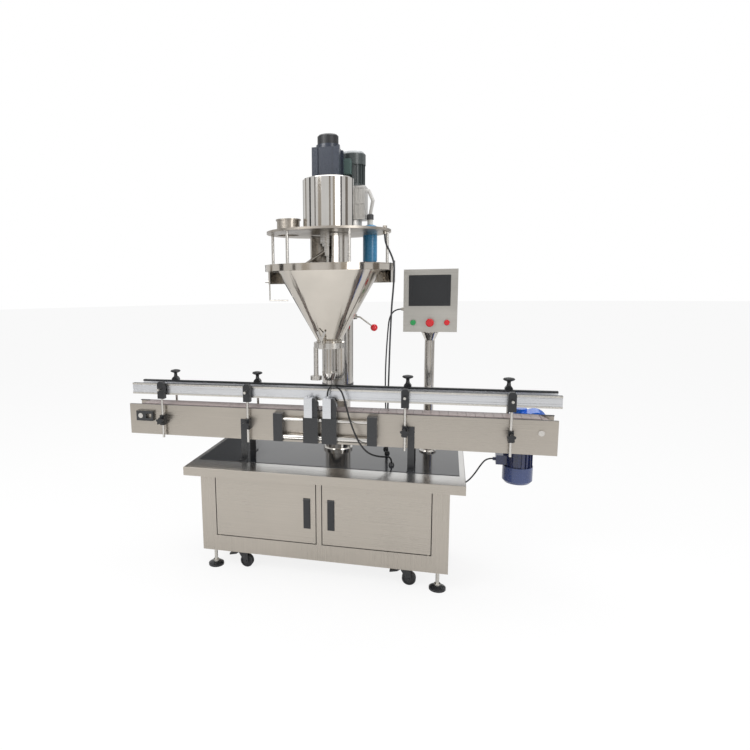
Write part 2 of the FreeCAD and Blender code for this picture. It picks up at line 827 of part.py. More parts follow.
def sprocket_shaft(name, x, front_y, back_y):
    """A shaft with two toothless drums that the hinge blocks ride over."""
    drum_radius = hinge_radius * math.cos(math.pi / SPROCKET_TEETH) - KNUCKLE_RADIUS - KNUCKLE_GAP
    shaft = rod(name + "_bar", dim.shaft_radius, (x, front_y, shaft_height), back_y - front_y, "y")
    pieces = [shaft]
    for side in (-1, 1):
        body = doc.addObject("PartDesign::Body", "%s_wheel_%d" % (name, side + 2))
        pad(body, "%s_disc_%d" % (name, side + 2), "XZ_Plane", [], 12,
            circles=[((0, 0), drum_radius)], middle=True)
        notch = pocket(body, "%s_notch_%d" % (name, side + 2), "XZ_Plane", [], 14,
                       circles=[((drum_radius + 2, 0), 7)], middle=True)
        ring = body.newObject("PartDesign::PolarPattern", "%s_notches_%d" % (name, side + 2))
        ring.Originals = [notch]
        ring.Axis = (origin_plane(body, "Y_Axis"), [""])
        ring.Angle = 360
        ring.Occurrences = SPROCKET_TEETH
        body.Tip = ring
        place(body, x, side * 14, shaft_height)
        pieces.append(body)
    keep(name, fuse(name + "_joined", pieces))


def conveyor_brackets():
    """Four angle legs on the table and two blocks that carry the tail shaft."""
    pieces = []
    for offset in (-1, 1):
        x = dim.conveyor_x + offset * dim.leg_spacing / 2
        for side, word in ((-1, "front"), (1, "back")):
            inner = side * side_face
            upright = (inner - dim.leg_thick, inner) if side < 0 else (inner, inner + dim.leg_thick)
            toe = (inner - dim.leg_foot, inner) if side < 0 else (inner, inner + dim.leg_foot)
            name = "leg_%s_%d" % (word, offset + 1)
            pieces.append(fuse(name, [
                box(name + "_upright", both(x, dim.leg_width / 2), upright, (mat_top, dim.conveyor_bottom + 99)),
                box(name + "_toe", both(x, dim.leg_width / 2), toe, (mat_top, mat_top + dim.leg_thick))]))
    for side, word in ((-1, "front"), (1, "back")):
        inner = side * side_face
        across = (inner - 16, inner) if side < 0 else (inner, inner + 16)
        block = box("tail_block_" + word, (tail_x - 24, tail_x + 66), across,
                    (shaft_height - 26, shaft_height + 24))
        slot = box("tail_slot_" + word, (tail_x + 28, tail_x + 58), (across[0] - 1, across[1] + 1),
                   (shaft_height - 12, shaft_height + 10))
        bore = rod("tail_bore_" + word, dim.shaft_radius + dim.fit,
                   (tail_x, across[0] - 1, shaft_height), 18, "y")
        pieces.append(cut("tail_bearing_" + word, block, [slot, bore]))
    keep("conveyor_brackets", group("bracket_group", pieces))


GEAR_OFFSET = 66
GEAR_DEPTH = 134
MOTOR_RADIUS = 66
MOTOR_LENGTH = 206
gear_middle_y = side_face + GEAR_DEPTH / 2
motor_x = drive_x - GEAR_OFFSET
motor_flange_z = shaft_height - 74
terminal_low = motor_flange_z - 122
terminal_left = motor_x - MOTOR_RADIUS - 32


def drive_gearbox():
    """A worm box on the back plate: the wheel case round the shaft and the upright worm barrel."""
    case = rod("wheel_case", 58, (drive_x, side_face + 17, shaft_height), GEAR_DEPTH - 34, "y")
    hub = rod("wheel_hub", 36, (drive_x, side_face, shaft_height), GEAR_DEPTH, "y")
    barrel = rod("worm_barrel", 30, (motor_x, gear_middle_y, motor_flange_z + 10), 130)
    bridge = box("case_bridge", (motor_x, drive_x), (side_face + 22, side_face + GEAR_DEPTH - 22),
                 (shaft_height - 44, shaft_height + 52))
    flange = rod("motor_flange", 62, (motor_x, gear_middle_y, motor_flange_z), 12)
    bore = rod("gear_bore", dim.shaft_radius + dim.fit, (drive_x, side_face - 1, shaft_height),
               GEAR_DEPTH + 10, "y")
    body = fuse("gearbox_joined", [case, hub, barrel, bridge, flange])
    keep("drive_gearbox", cut("gearbox_bored", body, [bore]))


def finned_motor(name, radius, length, x, y, z, turn=None):
    """A motor that stands on its flange: finned barrel, then a fan cover at the far end."""
    body = doc.addObject("PartDesign::Body", name + "_body")
    cover = length * 0.62
    outline = [(0, 0), (radius - 4, 0), (radius - 4, 10), (radius - 9, 14), (radius - 9, cover),
               (radius, cover), (radius, length - 12), (radius - 10, length), (0, length)]
    profile = new_sketch(body, name + "_outline", "XZ_Plane", [outline])
    barrel = body.newObject("PartDesign::Revolution", name + "_barrel")
    barrel.Profile = profile
    barrel.ReferenceAxis = (profile, ["V_Axis"])
    barrel.Angle = 360
    fin = pad(body, name + "_fin", "XY_Plane", [rectangle((radius - 14, radius - 2), (-1.5, 1.5))], cover)
    fins = body.newObject("PartDesign::PolarPattern", name + "_fins")
    fins.Originals = [fin]
    fins.Axis = (origin_plane(body, "Z_Axis"), [""])
    fins.Angle = 360
    fins.Occurrences = 18
    body.Tip = fins
    if turn is not None:
        body.Placement = App.Placement(App.Vector(), turn)
    place(body, x, y, z)
    return body


def drive_motor():
    upside_down = App.Rotation(App.Vector(1, 0, 0), 180)
    motor = finned_motor("drive", MOTOR_RADIUS, MOTOR_LENGTH, motor_x, gear_middle_y, motor_flange_z,
                         upside_down)
    terminal = box("drive_terminal", (terminal_left, motor_x - 40), both(gear_middle_y, 30),
                   (terminal_low, terminal_low + 44))
    gland = rod("drive_gland", 8, (terminal_left - 12, gear_middle_y, terminal_low + 18), 14, "x")
    keep("drive_motor", fuse("drive_motor_joined", [motor, terminal, gland]))


conveyor_frame()
chain_belt()
sprocket_shaft("drive_shaft", drive_x, -side_face - 5, side_face + GEAR_DEPTH + 12)
sprocket_shaft("tail_shaft", tail_x, -side_face - 18, side_face + 18)
conveyor_brackets()
drive_gearbox()
drive_motor()

# ---------------------------------------------------------------- guide rails and their clamps

rail_inner = dim.rail_channel / 2
rail_outer = rail_inner + dim.rail_thick
post_y = rail_outer + dim.clamp_gap + dim.clamp_depth / 2
post_top = dim.cross_rod_height - dim.post_radius - 8
post_outer = dim.conveyor_length / 2 - dim.post_end_margin
post_places = [dim.conveyor_x + side * spread
               for side in (-1, 1) for spread in (dim.post_inner, post_outer)]
bracket_middle = (dim.bracket_bottom + dim.bracket_top) / 2
ROD_TAIL = 58


def guide_rail(side, word):
    """An aluminium rail with two grooves, a black strip above and below, and its cross rods."""
    inner = side * rail_inner
    outer = side * rail_outer
    floor = outer - side * 3
    low = dim.rail_bottom + dim.strip_height
    high = dim.rail_top - dim.strip_height
    outline = [(inner, low), (outer, low), (outer, low + 9), (floor, low + 9), (floor, low + 12),
               (outer, low + 12), (outer, high - 5), (floor, high - 5), (floor, high - 2), (outer, high - 2),
               (outer, high), (inner, high)]
    start = dim.rail_x - dim.rail_length / 2
    profile = doc.addObject("PartDesign::Body", word + "_rail_profile")
    pad(profile, word + "_rail_pad", "YZ_Plane", [outline], dim.rail_length)
    place(profile, start, 0, 0)
    pieces = [profile]
    strip_y = (outer - 2, inner + 2) if side < 0 else (inner - 2, outer + 2)
    for name, bottom in (("low", dim.rail_bottom), ("high", high)):
        pieces.append(box("%s_strip_%s" % (word, name), (start, start + dim.rail_length), strip_y,
                          (bottom, bottom + dim.strip_height)))
    for number, x in enumerate(post_places):
        rod_start = outer - ROD_TAIL if side < 0 else outer
        pieces.append(rod("%s_cross_rod_%d" % (word, number), dim.post_radius,
                          (x, rod_start, dim.cross_rod_height), ROD_TAIL, "y"))
    keep(word + "_guide_rail", group(word + "_rail_group", pieces))


def rail_clamps():
    """A lower bracket on the conveyor side and an upper clamp on each post."""
    pieces = []
    half = dim.clamp_width / 2
    for side, word in ((-1, "front"), (1, "back")):
        for number, x in enumerate(post_places):
            name = "%s_%d" % (word, number)
            upper = doc.addObject("PartDesign::Body", "clamp_block_" + name)
            outline = [(-half, dim.clamp_bottom), (half, dim.clamp_bottom), (half, dim.clamp_top - 10),
                       (half - 8, dim.clamp_top), (8 - half, dim.clamp_top), (-half, dim.clamp_top - 10)]
            pad(upper, "clamp_pad_" + name, "XZ_Plane", [outline], dim.clamp_depth, middle=True)
            place(upper, x, side * post_y, 0)
            post_hole = rod("clamp_post_hole_" + name, dim.post_radius + dim.fit,
                            (x, side * post_y, dim.clamp_bottom - 1), post_top - dim.clamp_bottom + 1.3)
            cross_hole = rod("clamp_cross_hole_" + name, dim.post_radius + dim.fit,
                             (x, side * post_y - dim.clamp_depth / 2 - 1, dim.cross_rod_height),
                             dim.clamp_depth + 2, "y")
            pieces.append(cut("upper_clamp_" + name, upper, [post_hole, cross_hole]))
            far = post_y + dim.clamp_depth / 2
            across = (-far, -side_face) if side < 0 else (side_face, far)
            foot = box("bracket_block_" + name, both(x, dim.bracket_width / 2), across,
                       (dim.bracket_bottom, dim.bracket_top))
            bracket_hole = rod("bracket_hole_" + name, dim.post_radius + dim.fit,
                               (x, side * post_y, dim.bracket_bottom - 1),
                               dim.bracket_top - dim.bracket_bottom + 2)
            pieces.append(cut("lower_bracket_" + name, foot, [bracket_hole]))
    keep("rail_clamps", group("clamp_group", pieces))


def rail_posts():
    posts = [rod("post_%d_%d" % (side + 1, number), dim.post_radius,
                 (x, side * post_y, dim.post_bottom), post_top - dim.post_bottom)
             for side in (-1, 1) for number, x in enumerate(post_places)]
    keep("rail_posts", group("post_group", posts))


def star_outline(radius, lobes=5, points=20):
    corners = []
    for index in range(points):
        angle = 2 * math.pi * index / points
        reach = radius * (0.8 + 0.2 * math.cos(lobes * angle))
        corners.append((reach * math.sin(angle), reach * math.cos(angle)))
    return corners


def rail_knobs():
    """Star knobs on the lower brackets, mushroom knobs on the back clamps."""
    pieces = []
    bracket_face = post_y + dim.clamp_depth / 2
    radius = dim.mushroom_radius
    mushroom = [(0, 0), (10, 0), (8, 12), (9, 19), (radius - 3, 25), (radius, 29), (radius - 4, 34),
                (8, 37), (0, 37)]
    for side, word in ((-1, "front"), (1, "back")):
        for number, x in enumerate(post_places):
            name = "%s_%d" % (word, number)
            star = doc.addObject("PartDesign::Body", "star_" + name)
            pad(star, "star_pad_" + name, "XZ_Plane", [star_outline(dim.star_radius)], 13, middle=True)
            place(star, x, side * (bracket_face + 20), bracket_middle)
            stem_start = bracket_face if side > 0 else -bracket_face - 15
            stem = rod("star_stem_" + name, 8, (x, stem_start, bracket_middle), 15, "y")
            pieces.append(fuse("star_knob_" + name, [star, stem]))
            if side > 0:
                pieces.append(turned("mushroom_" + name, mushroom, x, post_y, dim.clamp_top))
    keep("rail_knobs", group("knob_group", pieces))


guide_rail(-1, "front")
guide_rail(1, "rear")
rail_clamps()
rail_posts()
rail_knobs()

# ---------------------------------------------------------------- stopper unit

block_inner = dim.block_span / 2 - dim.block_width
bar_y = -side_face - dim.block_depth / 2
block_y = (-side_face - dim.block_depth, -side_face)
slider_y = (bar_y - 25, -side_face - 3)
cylinder_y = (bar_y - 31, bar_y - 31 + dim.cylinder_depth)
cylinder_top = dim.slider_top + dim.cylinder_height
finger_face = -rail_inner


def stopper_frame():
    blocks = []
    for side, word in ((-1, "left"), (1, "right")):
        inner = side * block_inner
        outer = inner + side * dim.block_width
        across = (outer, inner) if side < 0 else (inner, outer)
        block = box("end_block_" + word, across, block_y, (dim.block_bottom, dim.block_top))
        bores = [rod("block_bore_%s_%s" % (word, level), radius + dim.fit,
                     (across[0] - 1, bar_y, height), dim.block_width + 2, "x")
                 for level, radius, height in (("upper", dim.upper_bar_radius, dim.upper_bar_height),
                                               ("lower", dim.lower_bar_radius, dim.lower_bar_height))]
        blocks.append(cut("end_block_bored_" + word, block, bores))
    keep("stopper_end_blocks", group("block_group", blocks))
    half = block_inner + dim.block_width
    bars = [rod("upper_bar", dim.upper_bar_radius, (-half, bar_y, dim.upper_bar_height), half * 2, "x"),
            rod("lower_bar", dim.lower_bar_radius, (-half, bar_y, dim.lower_bar_height), half * 2, "x")]
    keep("stopper_shafts", group("bar_group", bars))


def piston_x(x):
    return x - 9


def stopper(word, x):
    """A slider on the two bars, the cylinder that it carries and the cylinder's rod."""
    half = dim.slider_width / 2
    plate = box("slider_plate_" + word, both(x, half), slider_y, (dim.slider_bottom, dim.slider_top))
    horn = doc.addObject("PartDesign::Body", "slider_horn_" + word)
    outline = [(0, dim.slider_top - 1), (23, dim.slider_top - 1), (23, cylinder_top - 26),
               (10, cylinder_top), (0, cylinder_top)]
    pad(horn, "slider_horn_pad_" + word, "XZ_Plane", [outline], 30, middle=True)
    place(horn, x + dim.cylinder_width / 2 - 9, bar_y - 6, 0)
    bores = [rod("slider_bore_%s_%s" % (word, level), radius + dim.fit,
                 (x - half - 1, bar_y, height), dim.slider_width + 2, "x")
             for level, radius, height in (("upper", dim.upper_bar_radius, dim.upper_bar_height),
                                           ("lower", dim.lower_bar_radius, dim.lower_bar_height))]
    keep("stopper_slider_" + word,
         cut("slider_bored_" + word, fuse("slider_joined_" + word, [plate, horn]), bores))
    barrel = box("cylinder_block_" + word, both(piston_x(x), dim.cylinder_width / 2), cylinder_y,
                 (dim.slider_top, cylinder_top))
    fitting = rod("cylinder_fitting_" + word, 6, (piston_x(x), bar_y - 11, cylinder_top - 1), 11)
    bore = rod("cylinder_bore_" + word, dim.piston_radius + dim.fit,
               (piston_x(x), cylinder_y[0] + 3, dim.piston_height), dim.cylinder_depth, "y")
    keep("stopper_cylinder_" + word,
         cut("cylinder_bored_" + word, fuse("cylinder_joined_" + word, [barrel, fitting]), [bore]))
    piston = rod("piston_bar_" + word, dim.piston_radius,
                 (piston_x(x), cylinder_y[0] + 4, dim.piston_height), finger_face - cylinder_y[0] - 6, "y")
    finger = box("piston_finger_" + word, both(piston_x(x), 12), (finger_face - 8, finger_face),
                 (dim.piston_height - 11, dim.piston_height + 11))
    keep("stopper_rod_" + word, fuse("piston_joined_" + word, [piston, finger]))


stopper_frame()
stopper("left", dim.slider_left_x)
stopper("right", dim.slider_right_x)

# ---------------------------------------------------------------- column and lift carriage

sleeve_reach = dim.head_x + dim.sleeve_radius
LEVER_HEIGHT_DROP = 28
LEVER_PIN_RADIUS = 6
lever_z = dim.sleeve_top - LEVER_HEIGHT_DROP
yoke_bottom = dim.rim_bottom - dim.yoke_height
yoke_inner = dim.rim_radius - dim.yoke_thick


def column():
    outline = [(0, 0), (dim.column_flange_radius, 0), (dim.column_flange_radius, 12),
               (dim.column_radius + 4, 16), (dim.column_radius, 16),
               (dim.column_radius, dim.sleeve_top - dim.table_top - 10),
               (0, dim.sleeve_top - dim.table_top - 10)]
    keep("column", turned("column_post", outline, dim.head_x, dim.column_y, dim.table_top))


def lift_carriage():
    """A sleeve on the column, a riser behind the hopper and the half ring that holds its rim."""
    axis = (dim.head_x, dim.column_y)
    sleeve = rod("sleeve", dim.sleeve_radius, (*axis, dim.sleeve_bottom), dim.sleeve_top - dim.sleeve_bottom)
    collar = rod("sleeve_collar", dim.sleeve_radius + 1.5, (*axis, dim.sleeve_bottom - 3), 13)
    riser_y = (dim.rim_radius - 52, dim.rim_radius - 2)
    riser = box("riser", both(dim.head_x, 60), riser_y, (dim.sleeve_top - 115, dim.rim_bottom))
    boss = rod("lever_boss", 14, (dim.head_x, dim.column_y, lever_z), dim.sleeve_radius + 7, "x")
    ring = rod("yoke_disc", dim.rim_radius, (dim.head_x, 0, yoke_bottom), dim.yoke_height)
    ring_hole = rod("yoke_hole", yoke_inner, (dim.head_x, 0, yoke_bottom - 1), dim.yoke_height + 2)
    front_half = box("yoke_front", both(dim.head_x, dim.rim_radius + 5), (-dim.rim_radius - 5, 0),
                     (yoke_bottom - 1, dim.rim_bottom + 1))
    yoke = cut("yoke", ring, [ring_hole, front_half])
    lug_x = dim.head_x + dim.rim_radius
    lug_low = box("lug_low", (lug_x - 5, lug_x + 8), (5, 35), (yoke_bottom, dim.rim_bottom - 3))
    lug_high = box("lug_high", (lug_x + 2.5, lug_x + 8), (5, 35), (dim.rim_bottom - 4, dim.rim_bottom + 40))
    knob_x = dim.head_x - dim.rim_radius
    knob = rod("yoke_knob", 7, (knob_x - 17, 9, yoke_bottom + 13), 20, "x")
    hook_top = (knob_x + 4, 6, yoke_bottom + 6)
    hook_low = (knob_x + 4, 6, yoke_bottom - 75)
    hook = [strut("hook_drop", 3, hook_top, hook_low), ball("hook_bend", 3, hook_low),
            strut("hook_toe", 3, hook_low, (knob_x + 92, 6, yoke_bottom - 76))]
    joined = fuse("carriage_joined", [sleeve, collar, riser, boss, yoke, lug_low, lug_high, knob] + hook)
    bore = rod("sleeve_bore", dim.column_radius + dim.fit, (*axis, dim.sleeve_bottom - 4),
               dim.sleeve_top - dim.sleeve_bottom + 5)
    lever_hole = rod("lever_hole", LEVER_PIN_RADIUS + dim.fit,
                     (sleeve_reach - 6, dim.column_y, lever_z), 20, "x")
    keep("lift_carriage", cut("carriage_bored", joined, [bore, lever_hole]))


def lock_lever():
    face = sleeve_reach + 7 + dim.seat_gap
    hub = rod("lever_hub", 13, (face, dim.column_y, lever_z), 12, "x")
    pin = rod("lever_pin", LEVER_PIN_RADIUS, (face - 12, dim.column_y, lever_z), 14, "x")
    bend = (face + 27, dim.column_y, lever_z - 2)
    tip = (face + 96, dim.column_y, lever_z - 53)
    keep("lock_lever", fuse("lever_joined", [
        hub, pin, strut("lever_neck", 4, (face + 6, dim.column_y, lever_z), bend), ball("lever_bend", 4, bend),
        strut("lever_arm", 4, bend, tip), ball("lever_ball", 17.5, tip)]))


column()
lift_carriage()
lock_lever()

# ---------------------------------------------------------------- hopper, auger and agitator

FERRULE_THICK = 7.5
ferrule_joint = (dim.clamp_ring_bottom + dim.clamp_ring_top) / 2
ledge_top = dim.rim_bottom + dim.hopper_wall
plate_top = dim.plate_bottom + dim.plate_thick
plate_radius = dim.rim_radius - dim.plate_inset
stand_circle = dim.rim_radius - dim.stand_inset
housing_top = dim.plate_bottom
wall = dim.hopper_wall


def hopper():
    outline = [
        (dim.neck_radius - wall, ferrule_joint), (dim.ferrule_radius, ferrule_joint),
        (dim.ferrule_radius, ferrule_joint + FERRULE_THICK), (dim.neck_radius, ferrule_joint + FERRULE_THICK),
        (dim.neck_radius, dim.cone_bottom), (dim.cone_top_radius, dim.rim_bottom),
        (dim.rim_radius, dim.rim_bottom), (dim.rim_radius, dim.rim_top - 4),
        (dim.rim_radius + 1.5, dim.rim_top - 3), (dim.rim_radius + 1.5, dim.rim_top),
        (dim.rim_radius - wall, dim.rim_top), (dim.rim_radius - wall, ledge_top),
        (dim.cone_top_radius - 2, ledge_top), (dim.neck_radius - wall, dim.cone_bottom + 1.5)]
    keep("hopper", turned("hopper_shell", outline, dim.head_x))


def hopper_clamp():
    """A clamp ring round both ferrules, its wing nut, and the rod that hangs below it."""
    bottom = dim.clamp_ring_bottom
    top = dim.clamp_ring_top
    outline = [(dim.neck_radius + 2.5, bottom), (dim.clamp_radius, bottom), (dim.clamp_radius, top),
               (dim.neck_radius + 2.5, top), (dim.neck_radius + 2.5, ferrule_joint + FERRULE_THICK),
               (dim.ferrule_radius + 0.3, ferrule_joint + FERRULE_THICK),
               (dim.ferrule_radius + 0.3, ferrule_joint - FERRULE_THICK),
               (dim.neck_radius + 2.5, ferrule_joint - FERRULE_THICK)]
    ring = turned("clamp_ring", outline, dim.head_x)
    lug_x = dim.head_x - 18
    lug_y = -dim.clamp_radius - 20
    lug = box("clamp_lug", both(lug_x, 9), (lug_y - 9, -dim.ferrule_radius), (bottom + 2, top - 2))
    screw = rod("clamp_screw", 4, (lug_x, lug_y, top - 4), 22)
    wing = doc.addObject("PartDesign::Body", "wing")
    pad(wing, "wing_plate", "XZ_Plane", [[(-6, 0), (6, 0), (22, 40), (14, 44), (0, 14), (-14, 44), (-22, 40)]],
        4, middle=True)
    place(wing, lug_x, lug_y, top + 14)
    hanger_x = dim.head_x - 63.5
    disk_bottom = dim.cup_bottom - 1
    hanger = fuse("hanger", [
        rod("hanger_bar", 11, (hanger_x, 0, disk_bottom + 8), bottom - disk_bottom - 8),
        rod("hanger_disk", 27, (hanger_x, 0, disk_bottom), 19)])
    keep("hopper_clamp", group("clamp_parts", [fuse("clamp_joined", [ring, lug, screw, wing]), hanger]))


def auger_tube():
    bore = dim.tube_radius - dim.tube_wall
    low = ferrule_joint - FERRULE_THICK
    cup_top = dim.tube_bottom + 2
    outline = [
        (bore, ferrule_joint), (bore, dim.tube_bottom + 6), (11, dim.cup_bottom + 12), (11, dim.spout_bottom),
        (15, dim.spout_bottom), (15, dim.cup_bottom), (dim.cup_bottom_radius, dim.cup_bottom),
        (dim.cup_top_radius, cup_top - 7), (dim.cup_top_radius, cup_top), (dim.tube_radius, cup_top),
        (dim.tube_radius, low), (dim.ferrule_radius, low), (dim.ferrule_radius, ferrule_joint)]
    keep("auger_tube", turned("tube_shell", outline, dim.head_x))


AUGER_SEAT = 24
FLIGHT_TURNS = 5.5
auger_bottom = dim.tube_bottom + 11
auger_top = dim.cover_top + AUGER_SEAT - 4


def auger_screw():
    """A long shaft with a helical flight, fed from the hopper's neck down to the cup."""
    pitch = dim.auger_pitch.value
    height = pitch * FLIGHT_TURNS
    inside = dim.auger_shaft_radius.value - 2
    outside = dim.auger_radius.value
    helix = Part.Wire(Part.makeHelix(pitch, height, (inside + outside) / 2).Edges)
    half = dim.flight_thick.value / 2
    corners = [App.Vector(radius, 0, z) for radius, z in
               ((inside, -half), (outside, -half), (outside, half), (inside, half))]
    section = Part.makePolygon(corners + corners[:1])
    flight = solid_feature("auger_flight", helix.makePipeShell([section], True, True))
    place(flight, dim.head_x, 0, auger_bottom + half + 1)
    shaft = rod("auger_shaft", dim.auger_shaft_radius, (dim.head_x, 0, auger_bottom), auger_top - auger_bottom)
    keep("auger_screw", fuse("auger_joined", [shaft, flight]))


AGITATOR_GEAR = (60, 40, 24)


def agitator():
    """A hollow shaft with a gear on top, an open drum, and two arms that scrape the cone."""
    shaft_low = dim.drum_bottom + 40
    gear_radius, gear_lift, gear_width = AGITATOR_GEAR
    shaft = rod("agitator_shaft", dim.stir_shaft_radius, (dim.head_x, 0, shaft_low),
                plate_top + gear_lift + gear_width - shaft_low)
    gear = rod("agitator_gear", gear_radius, (dim.head_x, 0, plate_top + gear_lift), gear_width)
    drum_height = dim.plate_bottom - 3 - dim.drum_bottom
    shell = rod("drum_outer", dim.drum_radius, (dim.head_x, 0, dim.drum_bottom), drum_height)
    hollow = rod("drum_inner", dim.drum_radius - dim.drum_wall, (dim.head_x, 0, dim.drum_bottom - 1),
                 drum_height + 2)
    reach = dim.drum_radius * 1.6
    mouth = doc.addObject("PartDesign::Body", "drum_mouth")
    pad(mouth, "drum_mouth_pad", "XY_Plane",
        [[(0, 0), (reach * -0.94, reach * 0.34), (-reach, -reach), (0, reach * -1.2),
          (reach * 0.34, reach * -0.94)]], drum_height + 4)
    place(mouth, dim.head_x, 0, dim.drum_bottom - 2)
    drum = cut("drum", shell, [hollow, mouth])
    arms = []
    for side, word in ((-1, "left"), (1, "right")):
        angle = math.radians(20)
        along = (side * math.cos(angle), side * math.sin(angle))

        def arm_point(radius, height):
            return (dim.head_x + along[0] * radius, along[1] * radius, height)

        inner = arm_point(14, dim.drum_bottom + 64)
        knee = arm_point(dim.cone_top_radius - 31, dim.rim_bottom - 29)
        toe = arm_point(dim.neck_radius + 17, dim.cone_bottom + 52)
        arms += [strut("arm_" + word, dim.arm_radius, inner, knee), ball("knee_" + word, dim.arm_radius, knee),
                 strut("scraper_" + word, dim.arm_radius - 1, knee, toe)]
    joined = fuse("agitator_joined", [shaft, gear, drum] + arms)
    bore = rod("agitator_bore", dim.auger_shaft_radius + dim.fit, (dim.head_x, 0, shaft_low - 1), 400)
    keep("agitator", cut("agitator_bored", joined, [bore]))


hopper()
hopper_clamp()
auger_tube()
auger_screw()
agitator()

# ---------------------------------------------------------------- top plate and its motors

inlet_axis = (dim.inlet_x, 0)
canister_axis = (dim.canister_x, dim.canister_y)
CABLE_GLAND = (262, -30)


def bearing_housing():
    bore = dim.stir_shaft_radius + dim.fit
    outline = [(bore, dim.housing_bottom), (dim.housing_radius - 8, dim.housing_bottom),
               (dim.housing_radius - 8, dim.housing_bottom + 14), (dim.housing_radius, dim.housing_bottom + 14),
               (dim.housing_radius, housing_top), (bore, housing_top)]
    keep("bearing_housing", turned("housing_turned", outline, dim.head_x))


def top_plate():
    disc = rod("plate_disc", plate_radius, (dim.head_x, 0, dim.plate_bottom), dim.plate_thick)
    stub = rod("inlet_stub", dim.inlet_radius, (*inlet_axis, plate_top - 1), dim.inlet_height + 1)
    lip = rod("inlet_lip", dim.inlet_radius + 5, (*inlet_axis, plate_top + dim.inlet_height - 6), 6)
    gland = rod("plate_gland", 9, (*CABLE_GLAND, dim.plate_bottom - 12), dim.plate_thick + 26)
    joined = fuse("plate_joined", [disc, stub, lip, gland])
    below = dim.plate_bottom - 1
    holes = [
        rod("inlet_bore", dim.inlet_radius - 3, (*inlet_axis, below), 200),
        rod("shaft_hole", dim.stir_shaft_radius + 1, (dim.head_x, 0, below), dim.plate_thick + 2),
        rod("canister_hole", dim.canister_radius + dim.fit, (*canister_axis, below), dim.plate_thick + 2),
    ]
    keep("top_plate", cut("plate_bored", joined, holes))


def plate_posts():
    posts = []
    for index in range(6):
        angle = math.radians(60 * index)
        posts.append(rod("plate_post_%d" % index, dim.stand_radius,
                         (dim.head_x + stand_circle * math.cos(angle), stand_circle * math.sin(angle),
                          ledge_top), dim.plate_bottom - ledge_top))
    keep("plate_posts", group("plate_post_group", posts))


def motor_cover():
    radius = dim.cover_radius
    outline = [(radius - 3, plate_top), (radius, plate_top), (radius, dim.cover_top - 4),
               (radius - 4, dim.cover_top), (16, dim.cover_top), (16, dim.cover_top - 3),
               (radius - 3, dim.cover_top - 3)]
    keep("motor_cover", turned("cover_can", outline, dim.head_x))


def servo_motor():
    half = dim.servo_width / 2
    rib = half - 26
    face = half - 6
    outline = []
    for right, forward in ((1, 0), (0, -1), (-1, 0), (0, 1)):
        for along, across in ((rib, face), (rib, half), (half, half), (half, rib), (face, rib)):
            outline.append((along * right - across * forward, across * right + along * forward))
    body = doc.addObject("PartDesign::Body", "servo_body")
    pad(body, "servo_block", "XY_Plane", [outline], dim.servo_top - dim.cover_top)
    pocket(body, "servo_seat", "XY_Plane", [], AUGER_SEAT, back=True,
           circles=[((0, 0), dim.auger_shaft_radius + dim.fit)])
    place(body, dim.head_x, 0, dim.cover_top)
    neck = rod("servo_neck", half - 8, (dim.head_x, 0, dim.servo_top - 1), 17)
    radius = dim.encoder_radius
    cap = turned("encoder", [(0, dim.servo_top + 14), (radius, dim.servo_top + 14),
                             (radius, dim.encoder_top - 6), (radius - 6, dim.encoder_top),
                             (0, dim.encoder_top)], dim.head_x)
    keep("servo_motor", fuse("servo_joined", [body, neck, cap]))


def stir_drive():
    """The agitator's motor stands on a ribbed gearbox behind the cover."""
    motor = finned_motor("stir", dim.stir_motor_radius, dim.stir_motor_top - dim.gear_top,
                         dim.stir_x, dim.stir_y, dim.gear_top)
    terminal = box("stir_terminal", (dim.stir_x - 38, dim.stir_x + 7),
                   (dim.stir_y - 100, dim.stir_y - dim.stir_motor_radius + 14),
                   (dim.gear_top + 46, dim.gear_top + 112))
    keep("stir_motor", fuse("stir_motor_joined", [motor, terminal]))
    core = box("gear_core", both(dim.stir_x, 60), both(dim.stir_y, 46), (dim.gear_bottom, dim.gear_top))
    ribs = [box("gear_rib_%d" % index, both(dim.stir_x + offset, 3), both(dim.stir_y, 52),
                (dim.gear_bottom, dim.gear_top))
            for index, offset in enumerate((-63, -42, -21, 0, 21, 42, 63))]
    bands = [box("gear_band_%d" % index, both(dim.stir_x, 66), both(dim.stir_y, 52), (low, low + 10))
             for index, low in enumerate((dim.gear_bottom, (dim.gear_bottom + dim.gear_top) / 2 - 5,
                                          dim.gear_top - 10))]
    pedestal = rod("gear_pedestal", 45, (dim.stir_x, dim.stir_y, plate_top), dim.gear_bottom - plate_top + 1)
    keep("stir_gearbox", fuse("gear_joined", [core, pedestal] + ribs + bands))


def level_sensor():
    radius = dim.canister_radius
    top = dim.canister_shoulder
    outline = [(0, dim.canister_bottom), (radius - 5, dim.canister_bottom), (radius, dim.canister_bottom + 5),
               (radius, top - 6), (radius - 6, top), (13, top + 5), (13, top + 28), (16, top + 28),
               (16, top + 49), (12, top + 53), (0, top + 53)]
    can = turned("canister", outline, dim.canister_x, dim.canister_y)
    start = (dim.canister_x, dim.canister_y, top + 50)
    bend = (dim.canister_x + 15, dim.canister_y - 20, top + 112)
    elbow = (dim.stir_x + 81, dim.canister_y - 20, top + 156)
    end = (dim.stir_x + 66 + dim.seat_gap, dim.canister_y - 20, top + 156)
    keep("level_sensor", fuse("sensor_joined", [
        can, strut("conduit_low", 8, start, bend), ball("conduit_bend", 8, bend),
        strut("conduit_high", 8, bend, elbow), ball("conduit_elbow", 8, elbow),
        strut("conduit_end", 8, elbow, end)]))


bearing_housing()
top_plate()
plate_posts()
motor_cover()
servo_motor()
stir_drive()
level_sensor()

# ---------------------------------------------------------------- control panel

